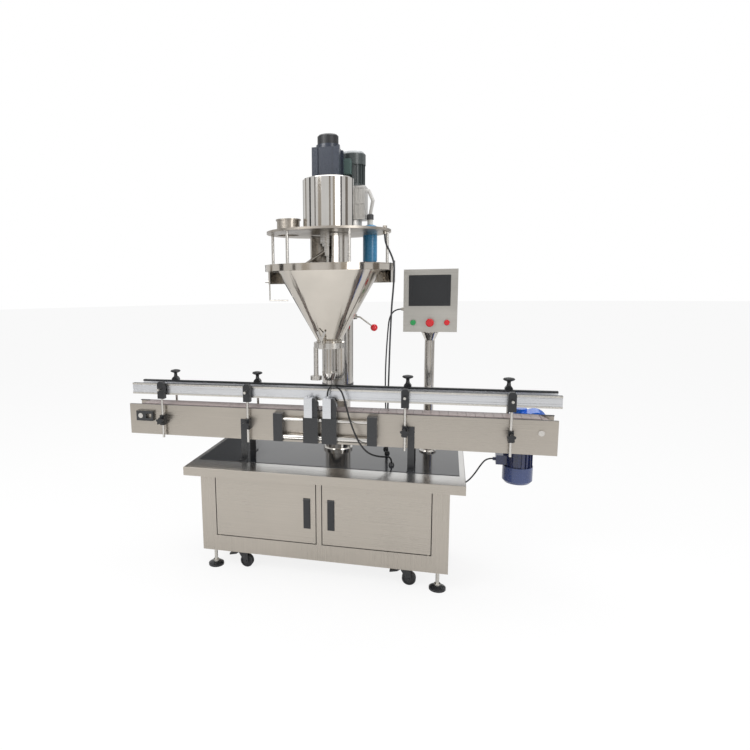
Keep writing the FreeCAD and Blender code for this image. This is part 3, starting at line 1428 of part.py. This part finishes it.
PANEL_WALL = 3
PIVOT_RADIUS = 12
PIVOT_LENGTH = 18
panel_front = dim.panel_y - dim.panel_depth / 2
panel_top = dim.panel_bottom + dim.panel_height
panel_left = dim.panel_x - dim.panel_width / 2
panel_right = dim.panel_x + dim.panel_width / 2
screen_x = dim.panel_x - 4
screen_z = panel_top - 99
gland_height = dim.panel_bottom + 107
collar_top = dim.panel_bottom - dim.seat_gap
BUTTONS = (("start_button", -1), ("estop_button", 0), ("stop_button", 1))
BUTTON_STEM = 8


def panel_box():
    depth = both(dim.panel_y, dim.panel_depth / 2)
    shell = box("panel_outer", (panel_left, panel_right), depth, (dim.panel_bottom, panel_top))
    hollow = box("panel_inner", (panel_left + PANEL_WALL, panel_right - PANEL_WALL),
                 (depth[0] + PANEL_WALL, depth[1] - PANEL_WALL),
                 (dim.panel_bottom + PANEL_WALL, panel_top - PANEL_WALL))
    boss = rod("pivot_boss", 26, (dim.panel_x, dim.panel_y, dim.panel_bottom), PIVOT_LENGTH + 4)
    gland = taper("panel_gland", 7, 10, (panel_left - 14, dim.panel_y, gland_height), 16, "x")
    holes = [rod("button_hole_%d" % (place_index + 1), BUTTON_STEM + dim.fit,
                 (dim.panel_x + place_index * dim.button_spacing, panel_front - 1, dim.button_height),
                 PANEL_WALL + 2, "y")
             for _, place_index in BUTTONS]
    pivot = rod("pivot_bore", PIVOT_RADIUS + dim.fit, (dim.panel_x, dim.panel_y, dim.panel_bottom - 1),
                PIVOT_LENGTH + 1)
    hollowed = cut("panel_hollowed", shell, [hollow])
    keep("panel_box", cut("panel_bored", fuse("panel_joined", [hollowed, boss, gland]), holes + [pivot]))


def panel_screen():
    body = doc.addObject("PartDesign::Body", "screen_body")
    wide = dim.screen_width / 2
    tall = dim.screen_height / 2
    pad(body, "screen_bezel", "XZ_Plane", [rectangle((-wide, wide), (-tall, tall))], 5)
    recess = body.newObject("PartDesign::Pocket", "screen_recess")
    window = new_sketch(body, "recess_sketch", "XZ_Plane",
                        [rectangle((14 - wide, wide - 14), (14 - tall, tall - 14))])
    window.AttachmentOffset = App.Placement(App.Vector(0, 0, 5), App.Rotation())
    recess.Profile = window
    recess.Length = 1.5
    place(body, screen_x, panel_front, screen_z)
    keep("panel_screen", body)


def push_button(node, place_index, radius, reach, travel):
    """A cap in front of the panel's skin on a stem with a stop washer behind it."""
    gap = travel + 0.4
    washer = PANEL_WALL + dim.seat_gap
    outline = [(0, -reach), (radius * 0.8, -reach), (radius, 3 - reach), (radius, -gap), (BUTTON_STEM, -gap),
               (BUTTON_STEM, washer), (BUTTON_STEM + 3, washer), (BUTTON_STEM + 3, washer + 4),
               (0, washer + 4)]
    x = dim.panel_x + place_index * dim.button_spacing
    keep(node, turned(node + "_turned", outline, x, panel_front, dim.button_height, AXIS_TURN["y"]))


def panel_post():
    radius = dim.post_tube_radius
    base = dim.table_top
    outline = [(0, base), (40, base), (40, base + 8), (radius + 5, base + 14), (radius, base + 14),
               (radius, collar_top - 42), (radius + 17, collar_top - 5), (radius + 17, collar_top),
               (PIVOT_RADIUS, collar_top),
               (PIVOT_RADIUS, collar_top + PIVOT_LENGTH), (0, collar_top + PIVOT_LENGTH)]
    keep("panel_post", turned("post_turned", outline, dim.panel_x, dim.panel_y))


panel_box()
panel_screen()
push_button("start_button", -1, dim.button_radius, 14, 3)
push_button("estop_button", 0, dim.estop_radius, 26, 5)
push_button("stop_button", 1, dim.button_radius, 14, 3)
panel_post()

# ---------------------------------------------------------------- cables and hose

cable = dim.cable_diameter.value
thin_cable = cable - 1
rim_x = dim.head_x + dim.rim_radius

keep("servo_cable", cord_tube("servo_cable_tube", cable, [
    (*CABLE_GLAND, dim.plate_bottom - 12), (*CABLE_GLAND, 1525), (rim_x - 10, -34, 1482),
    (rim_x + 9, -37, 1436), (rim_x + 9, -36, 1380), (rim_x + 5, -22, 1320), (rim_x - 4, 10, 1250),
    (284, 52, 1170), (277, 92, 1080), (272, 122, 990), (268, 142, 900), (265, 153, 810), (263, 159, 720),
    (262, 161, 640), (*SERVO_CABLE_END, 575), (*SERVO_CABLE_END, grommet_top)]))

keep("panel_cable", cord_tube("panel_cable_tube", thin_cable, [
    (panel_left - 14 - dim.seat_gap, dim.panel_y, gland_height), (panel_left - 36, 243, gland_height - 2),
    (270, 242, 1203), (257, 241, 1170), (252, 240, 1110), (247, 237, 1030), (243, 234, 930), (243, 231, 830),
    (246, 229, 735), (250, 231, 655), (*PANEL_CABLE_END, 592), (*PANEL_CABLE_END, grommet_top)]))

keep("air_hose", cord_tube("air_hose_tube", dim.hose_diameter.value, [
    (piston_x(dim.slider_right_x), bar_y - 11, cylinder_top + 10), (17, -92, 872), (32, -97, 891),
    (58, -102, 894), (81, -106, 878), (94, -109, 848), (108, -112, 795), (124, -113, 738),
    (144, -112, 682), (168, -108, 632), (204, -94, 588), (254, -59, 566), (*HOSE_END, 561),
    (*HOSE_END, grommet_top)]))

keep("motor_cable", cord_tube("motor_cable_tube", thin_cable, [
    (terminal_left - 12 - dim.seat_gap, gear_middle_y, terminal_low + 18),
    (726, gear_middle_y, terminal_low + 18), (698, 118, 500), (672, 98, 462),
    (640, 56, 438), (606, 14, 436), (cabinet_right + 18, 3, 436)]))

# ---------------------------------------------------------------- checks and export

doc.recompute()
for thing in doc.Objects:
    if "Invalid" in thing.State or "Error" in thing.State:
        raise RuntimeError("%s did not recompute: %s" % (thing.Name, thing.State))
for node, thing in parts.items():
    if thing.Shape.isNull() or not thing.Shape.isValid():
        raise RuntimeError("%s has no valid shape" % node)
os.makedirs("parts", exist_ok=True)
for node, thing in parts.items():
    thing.Shape.exportStep("parts/%s.step" % node)
whole = Part.makeCompound([thing.Shape for thing in parts.values()]).BoundBox
print("%d parts, %s" % (len(parts), whole))
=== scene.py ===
import math

import bmesh
import bpy
from mathutils import Matrix, Vector


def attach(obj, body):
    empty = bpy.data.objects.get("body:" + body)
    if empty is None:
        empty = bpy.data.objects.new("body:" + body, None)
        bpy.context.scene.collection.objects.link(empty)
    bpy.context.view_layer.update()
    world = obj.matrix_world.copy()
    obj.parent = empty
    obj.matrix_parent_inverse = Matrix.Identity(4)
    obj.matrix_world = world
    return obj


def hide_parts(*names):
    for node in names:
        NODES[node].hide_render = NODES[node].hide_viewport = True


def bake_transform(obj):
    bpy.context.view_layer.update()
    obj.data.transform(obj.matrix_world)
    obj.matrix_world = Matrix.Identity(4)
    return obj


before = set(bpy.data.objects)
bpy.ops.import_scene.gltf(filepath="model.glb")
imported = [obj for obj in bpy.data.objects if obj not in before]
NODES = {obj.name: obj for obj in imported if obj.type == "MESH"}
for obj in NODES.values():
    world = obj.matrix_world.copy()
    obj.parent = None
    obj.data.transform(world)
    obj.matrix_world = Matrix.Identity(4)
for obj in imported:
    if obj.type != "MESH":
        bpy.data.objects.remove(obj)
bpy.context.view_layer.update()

scene = bpy.context.scene
collection = scene.collection

# ---------------------------------------------------------------- camera

CAMERA_PLACE = (0.5312, -2.5889, 1.3480)
YAW, PITCH, ROLL = 0.25403, 0.15489, -0.01488
SENSOR_WIDTH = 36
FOCAL_LENGTH = 27.538
FRAME_SHIFT = (0.1020, -0.00155)
FAR_CLIP = 200

forward = Vector((-math.sin(YAW) * math.cos(PITCH), math.cos(YAW) * math.cos(PITCH), -math.sin(PITCH)))
level = Vector((math.cos(YAW), math.sin(YAW), 0))
upright = level.cross(forward)
right = level * math.cos(ROLL) + upright * math.sin(ROLL)
up = upright * math.cos(ROLL) - level * math.sin(ROLL)

camera_data = bpy.data.cameras.new("camera")
camera_data.sensor_width = SENSOR_WIDTH
camera_data.lens = FOCAL_LENGTH
camera_data.shift_x, camera_data.shift_y = FRAME_SHIFT
camera_data.clip_end = FAR_CLIP
camera = bpy.data.objects.new("camera", camera_data)
collection.objects.link(camera)
turn = Matrix((right, up, -forward)).transposed().to_4x4()
camera.matrix_world = Matrix.Translation(CAMERA_PLACE) @ turn
scene.camera = camera

# ---------------------------------------------------------------- materials


def new_material(name):
    material = bpy.data.materials.new(name)
    material.use_nodes = True
    nodes = material.node_tree.nodes
    return material, nodes, material.node_tree.links, nodes["Principled BSDF"]


def scaled_noise(nodes, links, scale, detail=4, seed=0.0):
    """Noise in object space, stretched by a scale for each axis, per metre."""
    place = nodes.new("ShaderNodeTexCoord")
    mapping = nodes.new("ShaderNodeMapping")
    mapping.inputs["Scale"].default_value = scale
    mapping.inputs["Location"].default_value = (seed, seed * 1.7, seed * 0.6)
    noise = nodes.new("ShaderNodeTexNoise")
    noise.inputs["Scale"].default_value = 1
    noise.inputs["Detail"].default_value = detail
    links.new(place.outputs["Object"], mapping.inputs["Vector"])
    links.new(mapping.outputs["Vector"], noise.inputs["Vector"])
    return noise.outputs["Fac"]


def spread(nodes, links, source, low, high, source_low=0.3, source_high=0.7):
    span = nodes.new("ShaderNodeMapRange")
    span.inputs["From Min"].default_value = source_low
    span.inputs["From Max"].default_value = source_high
    span.inputs["To Min"].default_value = low
    span.inputs["To Max"].default_value = high
    links.new(source, span.inputs["Value"])
    return span.outputs["Result"]


def two_tone(nodes, links, source, first, second):
    mix = nodes.new("ShaderNodeMix")
    mix.data_type = "RGBA"
    mix.inputs["A"].default_value = (*first, 1)
    mix.inputs["B"].default_value = (*second, 1)
    links.new(source, mix.inputs["Factor"])
    return mix.outputs["Result"]


def finish(name, colour, metal=0.0, rough=0.5, grain=(90, 90, 90), vary=0.06, rough_vary=0.08,
           bump=0.08, depth=0.0004, coat=0.0, smudge=3.0, detail=4):
    """A surface with fine grain, slow smudges, a little colour change and a matching bump."""
    material, nodes, links, shader = new_material(name)
    fine = scaled_noise(nodes, links, grain, detail)
    slow = scaled_noise(nodes, links, (smudge, smudge, smudge), 3, 4.2)
    both = nodes.new("ShaderNodeMath")
    both.operation = "ADD"
    links.new(fine, both.inputs[0])
    links.new(slow, both.inputs[1])
    blended = spread(nodes, links, both.outputs[0], 0, 1, 0.7, 1.3)
    dark = [part * (1 - vary) for part in colour]
    light = [min(1, part * (1 + vary)) for part in colour]
    links.new(two_tone(nodes, links, blended, dark, light), shader.inputs["Base Color"])
    shader.inputs["Metallic"].default_value = metal
    links.new(spread(nodes, links, blended, max(0.02, rough - rough_vary), rough + rough_vary),
              shader.inputs["Roughness"])
    shader.inputs["Coat Weight"].default_value = coat
    shader.inputs["Coat Roughness"].default_value = 0.08
    if bump:
        relief = nodes.new("ShaderNodeBump")
        relief.inputs["Strength"].default_value = bump
        relief.inputs["Distance"].default_value = depth
        links.new(fine, relief.inputs["Height"])
        links.new(relief.outputs["Normal"], shader.inputs["Normal"])
    return material


STEEL = (0.43, 0.395, 0.35)
BRIGHT = (0.60, 0.575, 0.54)

brushed_x = finish("brushed_x", STEEL, 1, 0.34, (3, 700, 700), 0.09, 0.07, 0.14, 0.0003)
brushed_z = finish("brushed_z", STEEL, 1, 0.34, (700, 700, 3), 0.09, 0.07, 0.14, 0.0003)
brushed_panel = finish("brushed_panel", (0.50, 0.485, 0.45), 1, 0.36, (4, 800, 800),
                       0.08, 0.06, 0.12, 0.0003)
polished = finish("polished", BRIGHT, 1, 0.13, (5, 5, 300), 0.05, 0.05, 0.05, 0.0003, smudge=5)
hopper_steel = finish("hopper_steel", (0.56, 0.52, 0.465), 1, 0.16, (6, 6, 9),
                      0.07, 0.05, 0.10, 0.0012, smudge=7)
# paler copy of the brushed steel for the tabletop's top faces: a painted highlight standing in for the
# light falling on the top
tabletop_painted_highlight = finish("tabletop_painted_highlight", (0.80, 0.79, 0.77), 1, 0.22, (4, 500, 500), 0.04, 0.05, 0.05, 0.0003)
chrome = finish("chrome", (0.62, 0.60, 0.57), 1, 0.05, (60, 60, 4), 0.06, 0.03, 0.05, 0.0004, smudge=9)
turned_steel = finish("turned_steel", (0.58, 0.56, 0.53), 1, 0.22, (40, 40, 900), 0.06, 0.06, 0.12, 0.0002)
zinc = finish("zinc", (0.62, 0.60, 0.56), 1, 0.28, (200, 200, 200), 0.10, 0.08, 0.10, 0.0003)
aluminium = finish("aluminium", (0.66, 0.67, 0.69), 1, 0.30, (3, 900, 900), 0.05, 0.05, 0.10, 0.0002)
cast_silver = finish("cast_silver", (0.62, 0.61, 0.59), 1, 0.42, (260, 260, 260), 0.12, 0.10, 0.45, 0.0006)
black_plastic = finish("black_plastic", (0.014, 0.015, 0.017), 0, 0.38, (500, 500, 500),
                       0.25, 0.08, 0.25, 0.0003)
black_paint = finish("black_paint", (0.016, 0.017, 0.019), 0, 0.30, (300, 300, 300),
                     0.25, 0.08, 0.16, 0.0003, coat=0.2)
tyre = finish("tyre", (0.022, 0.023, 0.025), 0, 0.55, (240, 240, 240), 0.2, 0.1, 0.3, 0.0004)
mat_black = finish("mat_black", (0.012, 0.014, 0.018), 0, 0.16, (30, 500, 500),
                   0.2, 0.06, 0.05, 0.0003, coat=0.4)
belt_plastic = finish("belt_plastic", (0.36, 0.30, 0.29), 0, 0.42, (120, 120, 120),
                      0.10, 0.08, 0.12, 0.0003)
navy_paint = finish("navy_paint", (0.010, 0.018, 0.075), 0, 0.28, (160, 160, 160),
                    0.12, 0.06, 0.12, 0.0004, coat=0.5)
navy_cover = finish("navy_cover", (0.030, 0.050, 0.145), 0, 0.30, (160, 160, 160),
                    0.10, 0.06, 0.12, 0.0004, coat=0.4)
blue_paint = finish("blue_paint", (0.02, 0.16, 0.72), 0, 0.26, (120, 120, 120),
                    0.08, 0.06, 0.10, 0.0004, coat=0.4)
can_blue = finish("can_blue", (0.028, 0.235, 0.46), 0, 0.32, (140, 140, 140),
                  0.07, 0.06, 0.06, 0.0003, coat=0.3)
slate = finish("slate", (0.020, 0.027, 0.044), 0, 0.30, (260, 260, 260), 0.18, 0.07, 0.16, 0.0003, coat=0.3)
motor_grey = finish("motor_grey", (0.050, 0.062, 0.062), 0, 0.34, (240, 240, 240),
                    0.14, 0.08, 0.16, 0.0003, coat=0.2)
motor_dome = finish("motor_dome", (0.30, 0.32, 0.33), 0, 0.34, (240, 240, 240),
                    0.10, 0.08, 0.16, 0.0003, coat=0.2)
teal_box = finish("teal_box", (0.085, 0.135, 0.125), 0, 0.38, (300, 300, 300), 0.10, 0.08, 0.20, 0.0003)
dark_grey = finish("dark_grey", (0.05, 0.05, 0.053), 0, 0.42, (300, 300, 300), 0.2, 0.08, 0.2, 0.0003)
pale_plastic = finish("pale_plastic", (0.62, 0.61, 0.57), 0, 0.45, (200, 200, 200), 0.06, 0.08, 0.1, 0.0003)
conduit_grey = finish("conduit_grey", (0.56, 0.55, 0.53), 0, 0.40, (90, 90, 700), 0.12, 0.08, 0.35, 0.0006)
green_plastic = finish("green_plastic", (0.010, 0.30, 0.075), 0, 0.22, (200, 200, 200),
                       0.08, 0.05, 0.05, 0.0003, coat=0.5)
red_plastic = finish("red_plastic", (0.55, 0.006, 0.012), 0, 0.22, (200, 200, 200),
                     0.08, 0.05, 0.05, 0.0003, coat=0.5)
red_ball = finish("red_ball", (0.72, 0.010, 0.020), 0, 0.18, (60, 60, 60),
                  0.06, 0.05, 0.03, 0.0003, coat=0.6)
grey_cable = finish("grey_cable", (0.035, 0.036, 0.040), 0, 0.42, (150, 150, 600), 0.15, 0.08, 0.2, 0.0003)
black_cable = finish("black_cable", (0.010, 0.010, 0.011), 0, 0.30, (150, 150, 600),
                     0.2, 0.08, 0.15, 0.0003)

# ---------------------------------------------------------------- helpers for pieces


def dress(node, material, *others, sharp=38, bevel=0.0):
    """Gives a CAD node its materials; each of the others is (test of a face's centre, material)."""
    thing = NODES[node]
    mesh = thing.data
    mesh.materials.clear()
    mesh.materials.append(material)
    for _, other in others:
        mesh.materials.append(other)
    for face in mesh.polygons:
        face.material_index = 0
        for number, (test, _) in enumerate(others, start=1):
            if test(face.center):
                face.material_index = number
                break
    mesh.shade_smooth()
    mesh.set_sharp_from_angle(angle=math.radians(sharp))
    if bevel:
        softened = thing.modifiers.new("edge", "BEVEL")
        softened.width = bevel
        softened.segments = 2
        softened.limit_method = "ANGLE"
        softened.angle_limit = math.radians(50)
        softened.harden_normals = False
    return thing


def route_curve(name, points, diameter, material):
    """A cord on one smooth spline through listed control points in millimetres."""
    curve = bpy.data.curves.new(name, "CURVE")
    curve.dimensions = "3D"
    curve.bevel_depth = diameter / 2000
    curve.bevel_resolution = 4
    curve.resolution_u = 10
    curve.use_fill_caps = True
    spline = curve.splines.new("NURBS")
    spline.points.add(len(points) - 1)
    for control, point in zip(spline.points, points):
        control.co = (*[part / 1000 for part in point], 1)
    spline.order_u = 3
    spline.use_endpoint_u = True
    curve.materials.append(material)
    piece = bpy.data.objects.new(name, curve)
    collection.objects.link(piece)
    return piece


def spline_length(piece):
    """The spline's length, and its points, read from the evaluated curve with no bevel."""
    kept = piece.data.bevel_depth
    piece.data.bevel_depth = 0
    line = bpy.data.meshes.new_from_object(piece)
    piece.data.bevel_depth = kept
    points = [vertex.co.copy() for vertex in line.vertices]
    bpy.data.meshes.remove(line)
    length = sum((second - first).length for first, second in zip(points, points[1:]))
    return length, points


def tube_mesh(name, path, diameter, material, steps=12):
    """A mesh tube along points, for a cord that runs between two bodies."""
    shape = bmesh.new()
    radius = diameter / 2000
    side = None
    rings = []
    for index, point in enumerate(path):
        before = path[max(0, index - 1)]
        after = path[min(len(path) - 1, index + 1)]
        along = (after - before).normalized()
        if side is None:
            side = along.cross(Vector((0, 1, 0.3))).normalized()
        side = (side - along * side.dot(along)).normalized()
        other = along.cross(side)
        rings.append([shape.verts.new(point + (side * math.cos(angle) + other * math.sin(angle)) * radius)
                      for angle in (2 * math.pi * step / steps for step in range(steps))])
    for first, second in zip(rings, rings[1:]):
        for step in range(steps):
            following = (step + 1) % steps
            shape.faces.new((first[step], first[following], second[following], second[step]))
    shape.faces.new(rings[0])
    shape.faces.new(rings[-1])
    bmesh.ops.recalc_face_normals(shape, faces=shape.faces)
    mesh = bpy.data.meshes.new(name)
    shape.to_mesh(mesh)
    shape.free()
    mesh.materials.append(material)
    mesh.shade_smooth()
    piece = bpy.data.objects.new(name, mesh)
    collection.objects.link(piece)
    return piece


# ---------------------------------------------------------------- cables and hose

SERVO_CABLE = [
    (262, -30, 1557), (262, -30, 1525), (285, -34, 1482), (304, -37, 1436), (304, -36, 1380),
    (300, -22, 1320), (291, 10, 1250), (284, 52, 1170), (277, 92, 1080), (272, 122, 990),
    (268, 142, 900), (265, 153, 810), (263, 159, 720), (262, 161, 640), (262, 160, 575), (262, 160, 531)]
PANEL_CABLE = [
    (314.2, 243, 1222), (292.5, 243, 1220), (270, 242, 1203), (257, 241, 1170), (252, 240, 1110),
    (247, 237, 1030), (243, 234, 930), (243, 231, 830), (246, 229, 735), (250, 231, 655),
    (248, 230, 592), (248, 230, 531)]
AIR_HOSE = [
    (16, -91.25, 846), (17, -92, 872), (32, -97, 891), (58, -102, 894), (81, -106, 878), (94, -109, 848),
    (108, -112, 795), (124, -113, 738), (144, -112, 682), (168, -108, 632), (204, -94, 588),
    (254, -59, 566), (300, -22, 561), (300, -22, 531)]
MOTOR_CABLE = [
    (752.15, 126.75, 534.2), (726, 126.75, 534.2), (698, 118, 500), (672, 98, 462), (640, 56, 438),
    (606, 14, 436), (580, 3, 436)]


def bending_cord(name, points, diameter, material):
    """A cord between a moving body and the base, drawn out along its own spline."""
    guide = route_curve(name + "_guide", points, diameter, material)
    length, path = spline_length(guide)
    bpy.data.objects.remove(guide)
    tube = tube_mesh(name + "_skin", path, diameter, material)
    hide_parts(name)
    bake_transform(tube)
    return tube


bending_cord("servo_cable", SERVO_CABLE, 8, grey_cable)
bending_cord("panel_cable", PANEL_CABLE, 7, grey_cable)
bending_cord("air_hose", AIR_HOSE, 8, black_cable)
motor_guide = route_curve("motor_guide", MOTOR_CABLE, 7, black_cable)
motor_length, motor_path = spline_length(motor_guide)
bpy.data.objects.remove(motor_guide)
motor_lead = tube_mesh("motor_lead", motor_path, 7, black_cable)
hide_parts("motor_cable")
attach(motor_lead, "base")

# ---------------------------------------------------------------- CAD nodes


# heights in millimetres where a node's material changes, just past the faces they part
TABLE_SIDES_TOP = 516.9
MAT_FACE = 519.5
FOOT_PAD_TOP = 20
FAN_COVER_TOP = 510
LOWER_STRIP_TOP = 828.1
UPPER_STRIP_BOTTOM = 865.9
SLEEVE_COLLAR_TOP = 861
ENCODER_BOTTOM = 1943
MOTOR_DOME_BOTTOM = 1936
CANISTER_NECK_BOTTOM = 1618
CANISTER_CAP_BOTTOM = 1639.5
CONDUIT_BOTTOM = 1665.5


def above(height):
    return lambda centre: centre.z > height / 1000


def below(height):
    return lambda centre: centre.z < height / 1000


dress("cabinet_shell", brushed_z, bevel=0.0008)
# the tabletop's top faces take the pale steel, a painted highlight; the sides keep the plain brushed steel
dress("tabletop", brushed_x, (above(TABLE_SIDES_TOP), tabletop_painted_highlight))
dress("table_mat", mat_black, (above(MAT_FACE), black_plastic))
dress("levelling_feet", black_paint, (above(FOOT_PAD_TOP), zinc))
for node in ("caster_fork_left", "caster_fork_right", "rear_caster_forks"):
    dress(node, black_paint)
for node in ("caster_wheel_left", "caster_wheel_right", "rear_caster_wheels"):
    dress(node, tyre)
for node in ("door_left", "door_right"):
    dress(node, brushed_x, bevel=0.0008)
for node in ("latch_left", "latch_right"):
    dress(node, black_plastic)


def wear_strip(centre):
    return abs(centre.y) < 0.0565 and abs(centre.z - 0.755) < 0.02


def cross_rod(centre):
    return abs(centre.y) > 0.0605


def lever_ball(centre):
    return centre.x > 0.1695


def terminal_box(centre):
    return centre.x < 0.0955 and centre.y < 0.1075 and centre.z < 1.903


dress("conveyor_frame", brushed_x, (wear_strip, dark_grey))
dress("chain_belt", belt_plastic)
for node in ("drive_shaft", "tail_shaft"):
    dress(node, turned_steel)
dress("drive_gearbox", blue_paint, bevel=0.001)
dress("drive_motor", navy_paint, (below(FAN_COVER_TOP), navy_cover))
dress("conveyor_brackets", black_paint, bevel=0.0006)
for node in ("front_guide_rail", "rear_guide_rail"):
    dress(node, aluminium, (cross_rod, zinc),
          (above(UPPER_STRIP_BOTTOM), black_plastic), (below(LOWER_STRIP_TOP), black_plastic))
dress("rail_posts", turned_steel)
dress("rail_clamps", black_plastic, bevel=0.0012)
dress("rail_knobs", black_plastic)
dress("stopper_end_blocks", black_paint, bevel=0.0012)
dress("stopper_shafts", chrome)
for side in ("left", "right"):
    dress("stopper_slider_" + side, black_paint, bevel=0.0010)
    dress("stopper_cylinder_" + side, aluminium, bevel=0.0012)
    dress("stopper_rod_" + side, turned_steel)
dress("column", polished)
dress("lift_carriage", polished, (below(SLEEVE_COLLAR_TOP), black_plastic))
dress("lock_lever", turned_steel, (lever_ball, red_ball))
dress("hopper", hopper_steel)
dress("hopper_clamp", turned_steel)
dress("auger_tube", polished)
dress("auger_screw", turned_steel)
dress("agitator", polished)
dress("bearing_housing", turned_steel)
dress("top_plate", brushed_x)
dress("plate_posts", turned_steel)
dress("motor_cover", chrome)
dress("servo_motor", slate, (above(ENCODER_BOTTOM), black_plastic))
dress("stir_motor", motor_grey, (above(MOTOR_DOME_BOTTOM), motor_dome), (terminal_box, teal_box))
dress("stir_gearbox", cast_silver, bevel=0.0015)
dress("level_sensor", can_blue, (above(CONDUIT_BOTTOM), conduit_grey),
      (above(CANISTER_CAP_BOTTOM), dark_grey), (above(CANISTER_NECK_BOTTOM), pale_plastic))
dress("panel_box", brushed_panel, bevel=0.0015)
dress("panel_screen", black_plastic, bevel=0.0010)
dress("start_button", green_plastic)
dress("stop_button", red_plastic)
dress("estop_button", red_plastic)
dress("panel_post", polished)

# ---------------------------------------------------------------- floor, world and lights

FLOOR_RADIUS = 40
FLOOR_GLOW = 0.84
WORLD_LIGHT = 0.80
CARD_DISTANCE = 5
CARD_HEIGHT = 4.2
CARD_MIDDLE = 2.2

floor_mesh = bpy.data.meshes.new("floor")
floor_shape = bmesh.new()
bmesh.ops.create_circle(floor_shape, cap_ends=True, radius=FLOOR_RADIUS, segments=96)
floor_shape.to_mesh(floor_mesh)
floor_shape.free()
floor = bpy.data.objects.new("floor", floor_mesh)
collection.objects.link(floor)

floor_material, nodes, links, shader = new_material("floor")
shader.inputs["Base Color"].default_value = (0.82, 0.82, 0.82, 1)
shader.inputs["Roughness"].default_value = 0.9
shader.inputs["Specular IOR Level"].default_value = 0.1
glow = nodes.new("ShaderNodeEmission")
rays = nodes.new("ShaderNodeLightPath")
seen = nodes.new("ShaderNodeMath")
seen.operation = "MULTIPLY"
seen.inputs[1].default_value = FLOOR_GLOW
links.new(rays.outputs["Is Camera Ray"], seen.inputs[0])
mixed = nodes.new("ShaderNodeMixShader")
links.new(seen.outputs[0], mixed.inputs["Fac"])
links.new(shader.outputs["BSDF"], mixed.inputs[1])
links.new(glow.outputs["Emission"], mixed.inputs[2])
links.new(mixed.outputs["Shader"], nodes["Material Output"].inputs["Surface"])
floor_mesh.materials.append(floor_material)

world = bpy.data.worlds.new("studio")
scene.world = world
world.use_nodes = True
nodes = world.node_tree.nodes
links = world.node_tree.links
background = nodes["Background"]
rays = nodes.new("ShaderNodeLightPath")
plain = nodes.new("ShaderNodeMath")
plain.operation = "MAXIMUM"
links.new(rays.outputs["Is Camera Ray"], plain.inputs[0])
links.new(rays.outputs["Is Transmission Ray"], plain.inputs[1])
strength = nodes.new("ShaderNodeMix")
strength.data_type = "FLOAT"
strength.inputs["A"].default_value = WORLD_LIGHT
strength.inputs["B"].default_value = 1.0
links.new(plain.outputs[0], strength.inputs["Factor"])
links.new(strength.outputs["Result"], background.inputs["Strength"])
background.inputs["Color"].default_value = (1, 1, 1, 1)


def soft_light(name, place, target, size, power):
    lamp = bpy.data.lights.new(name, "AREA")
    lamp.shape = "RECTANGLE"
    lamp.size, lamp.size_y = size
    lamp.energy = power
    light = bpy.data.objects.new(name, lamp)
    collection.objects.link(light)
    light.location = place
    light.rotation_euler = (Vector(target) - Vector(place)).to_track_quat("-Z", "Y").to_euler()
    return light


soft_light("key", (-2.2, -3.2, 3.4), (0, 0, 1.0), (2.4, 1.8), 95)
soft_light("fill", (3.2, -2.4, 2.2), (0, 0, 0.9), (1.6, 2.4), 40)
soft_light("top", (0.2, 0.6, 4.2), (0, 0, 1.0), (3.0, 2.0), 50)


def reflection_card(name, centre, width, height, tone, yaw):
    """A tall dark card that only shows in shiny surfaces."""
    mesh = bpy.data.meshes.new(name)
    shape = bmesh.new()
    bmesh.ops.create_grid(shape, x_segments=1, y_segments=1, size=0.5)
    shape.to_mesh(mesh)
    shape.free()
    card = bpy.data.objects.new(name, mesh)
    collection.objects.link(card)
    card.location = centre
    card.rotation_euler = (math.pi / 2, 0, yaw)
    card.scale = (width, height, 1)
    card.visible_camera = False
    card.visible_diffuse = False
    card.visible_shadow = False
    material, nodes, links, shader = new_material(name)
    shader.inputs["Base Color"].default_value = (0, 0, 0, 1)
    shader.inputs["Roughness"].default_value = 1
    shader.inputs["Emission Color"].default_value = (*tone, 1)
    shader.inputs["Emission Strength"].default_value = 1
    mesh.materials.append(material)
    return card


# each card's angle round the machine in degrees, its width and its tone
CARDS = (
    (-168, 0.9, (0.05, 0.05, 0.05)),
    (-140, 0.5, (0.16, 0.15, 0.14)),
    (-118, 1.3, (0.42, 0.38, 0.33)),
    (-72, 0.6, (0.30, 0.27, 0.24)),
    (-52, 1.2, (0.46, 0.41, 0.35)),
    (-22, 0.9, (0.06, 0.06, 0.07)),
    (10, 1.4, (0.22, 0.20, 0.18)),
    (60, 1.2, (0.12, 0.12, 0.12)),
    (120, 1.2, (0.12, 0.12, 0.12)),
    (160, 0.8, (0.30, 0.28, 0.25)),
)
for number, (angle, width, tone) in enumerate(CARDS):
    direction = math.radians(angle)
    centre = (CARD_DISTANCE * math.cos(direction), CARD_DISTANCE * math.sin(direction), CARD_MIDDLE)
    reflection_card("card_%d" % number, centre, width, CARD_HEIGHT, tone, direction + math.pi / 2)

scene.view_settings.view_transform = "Standard"
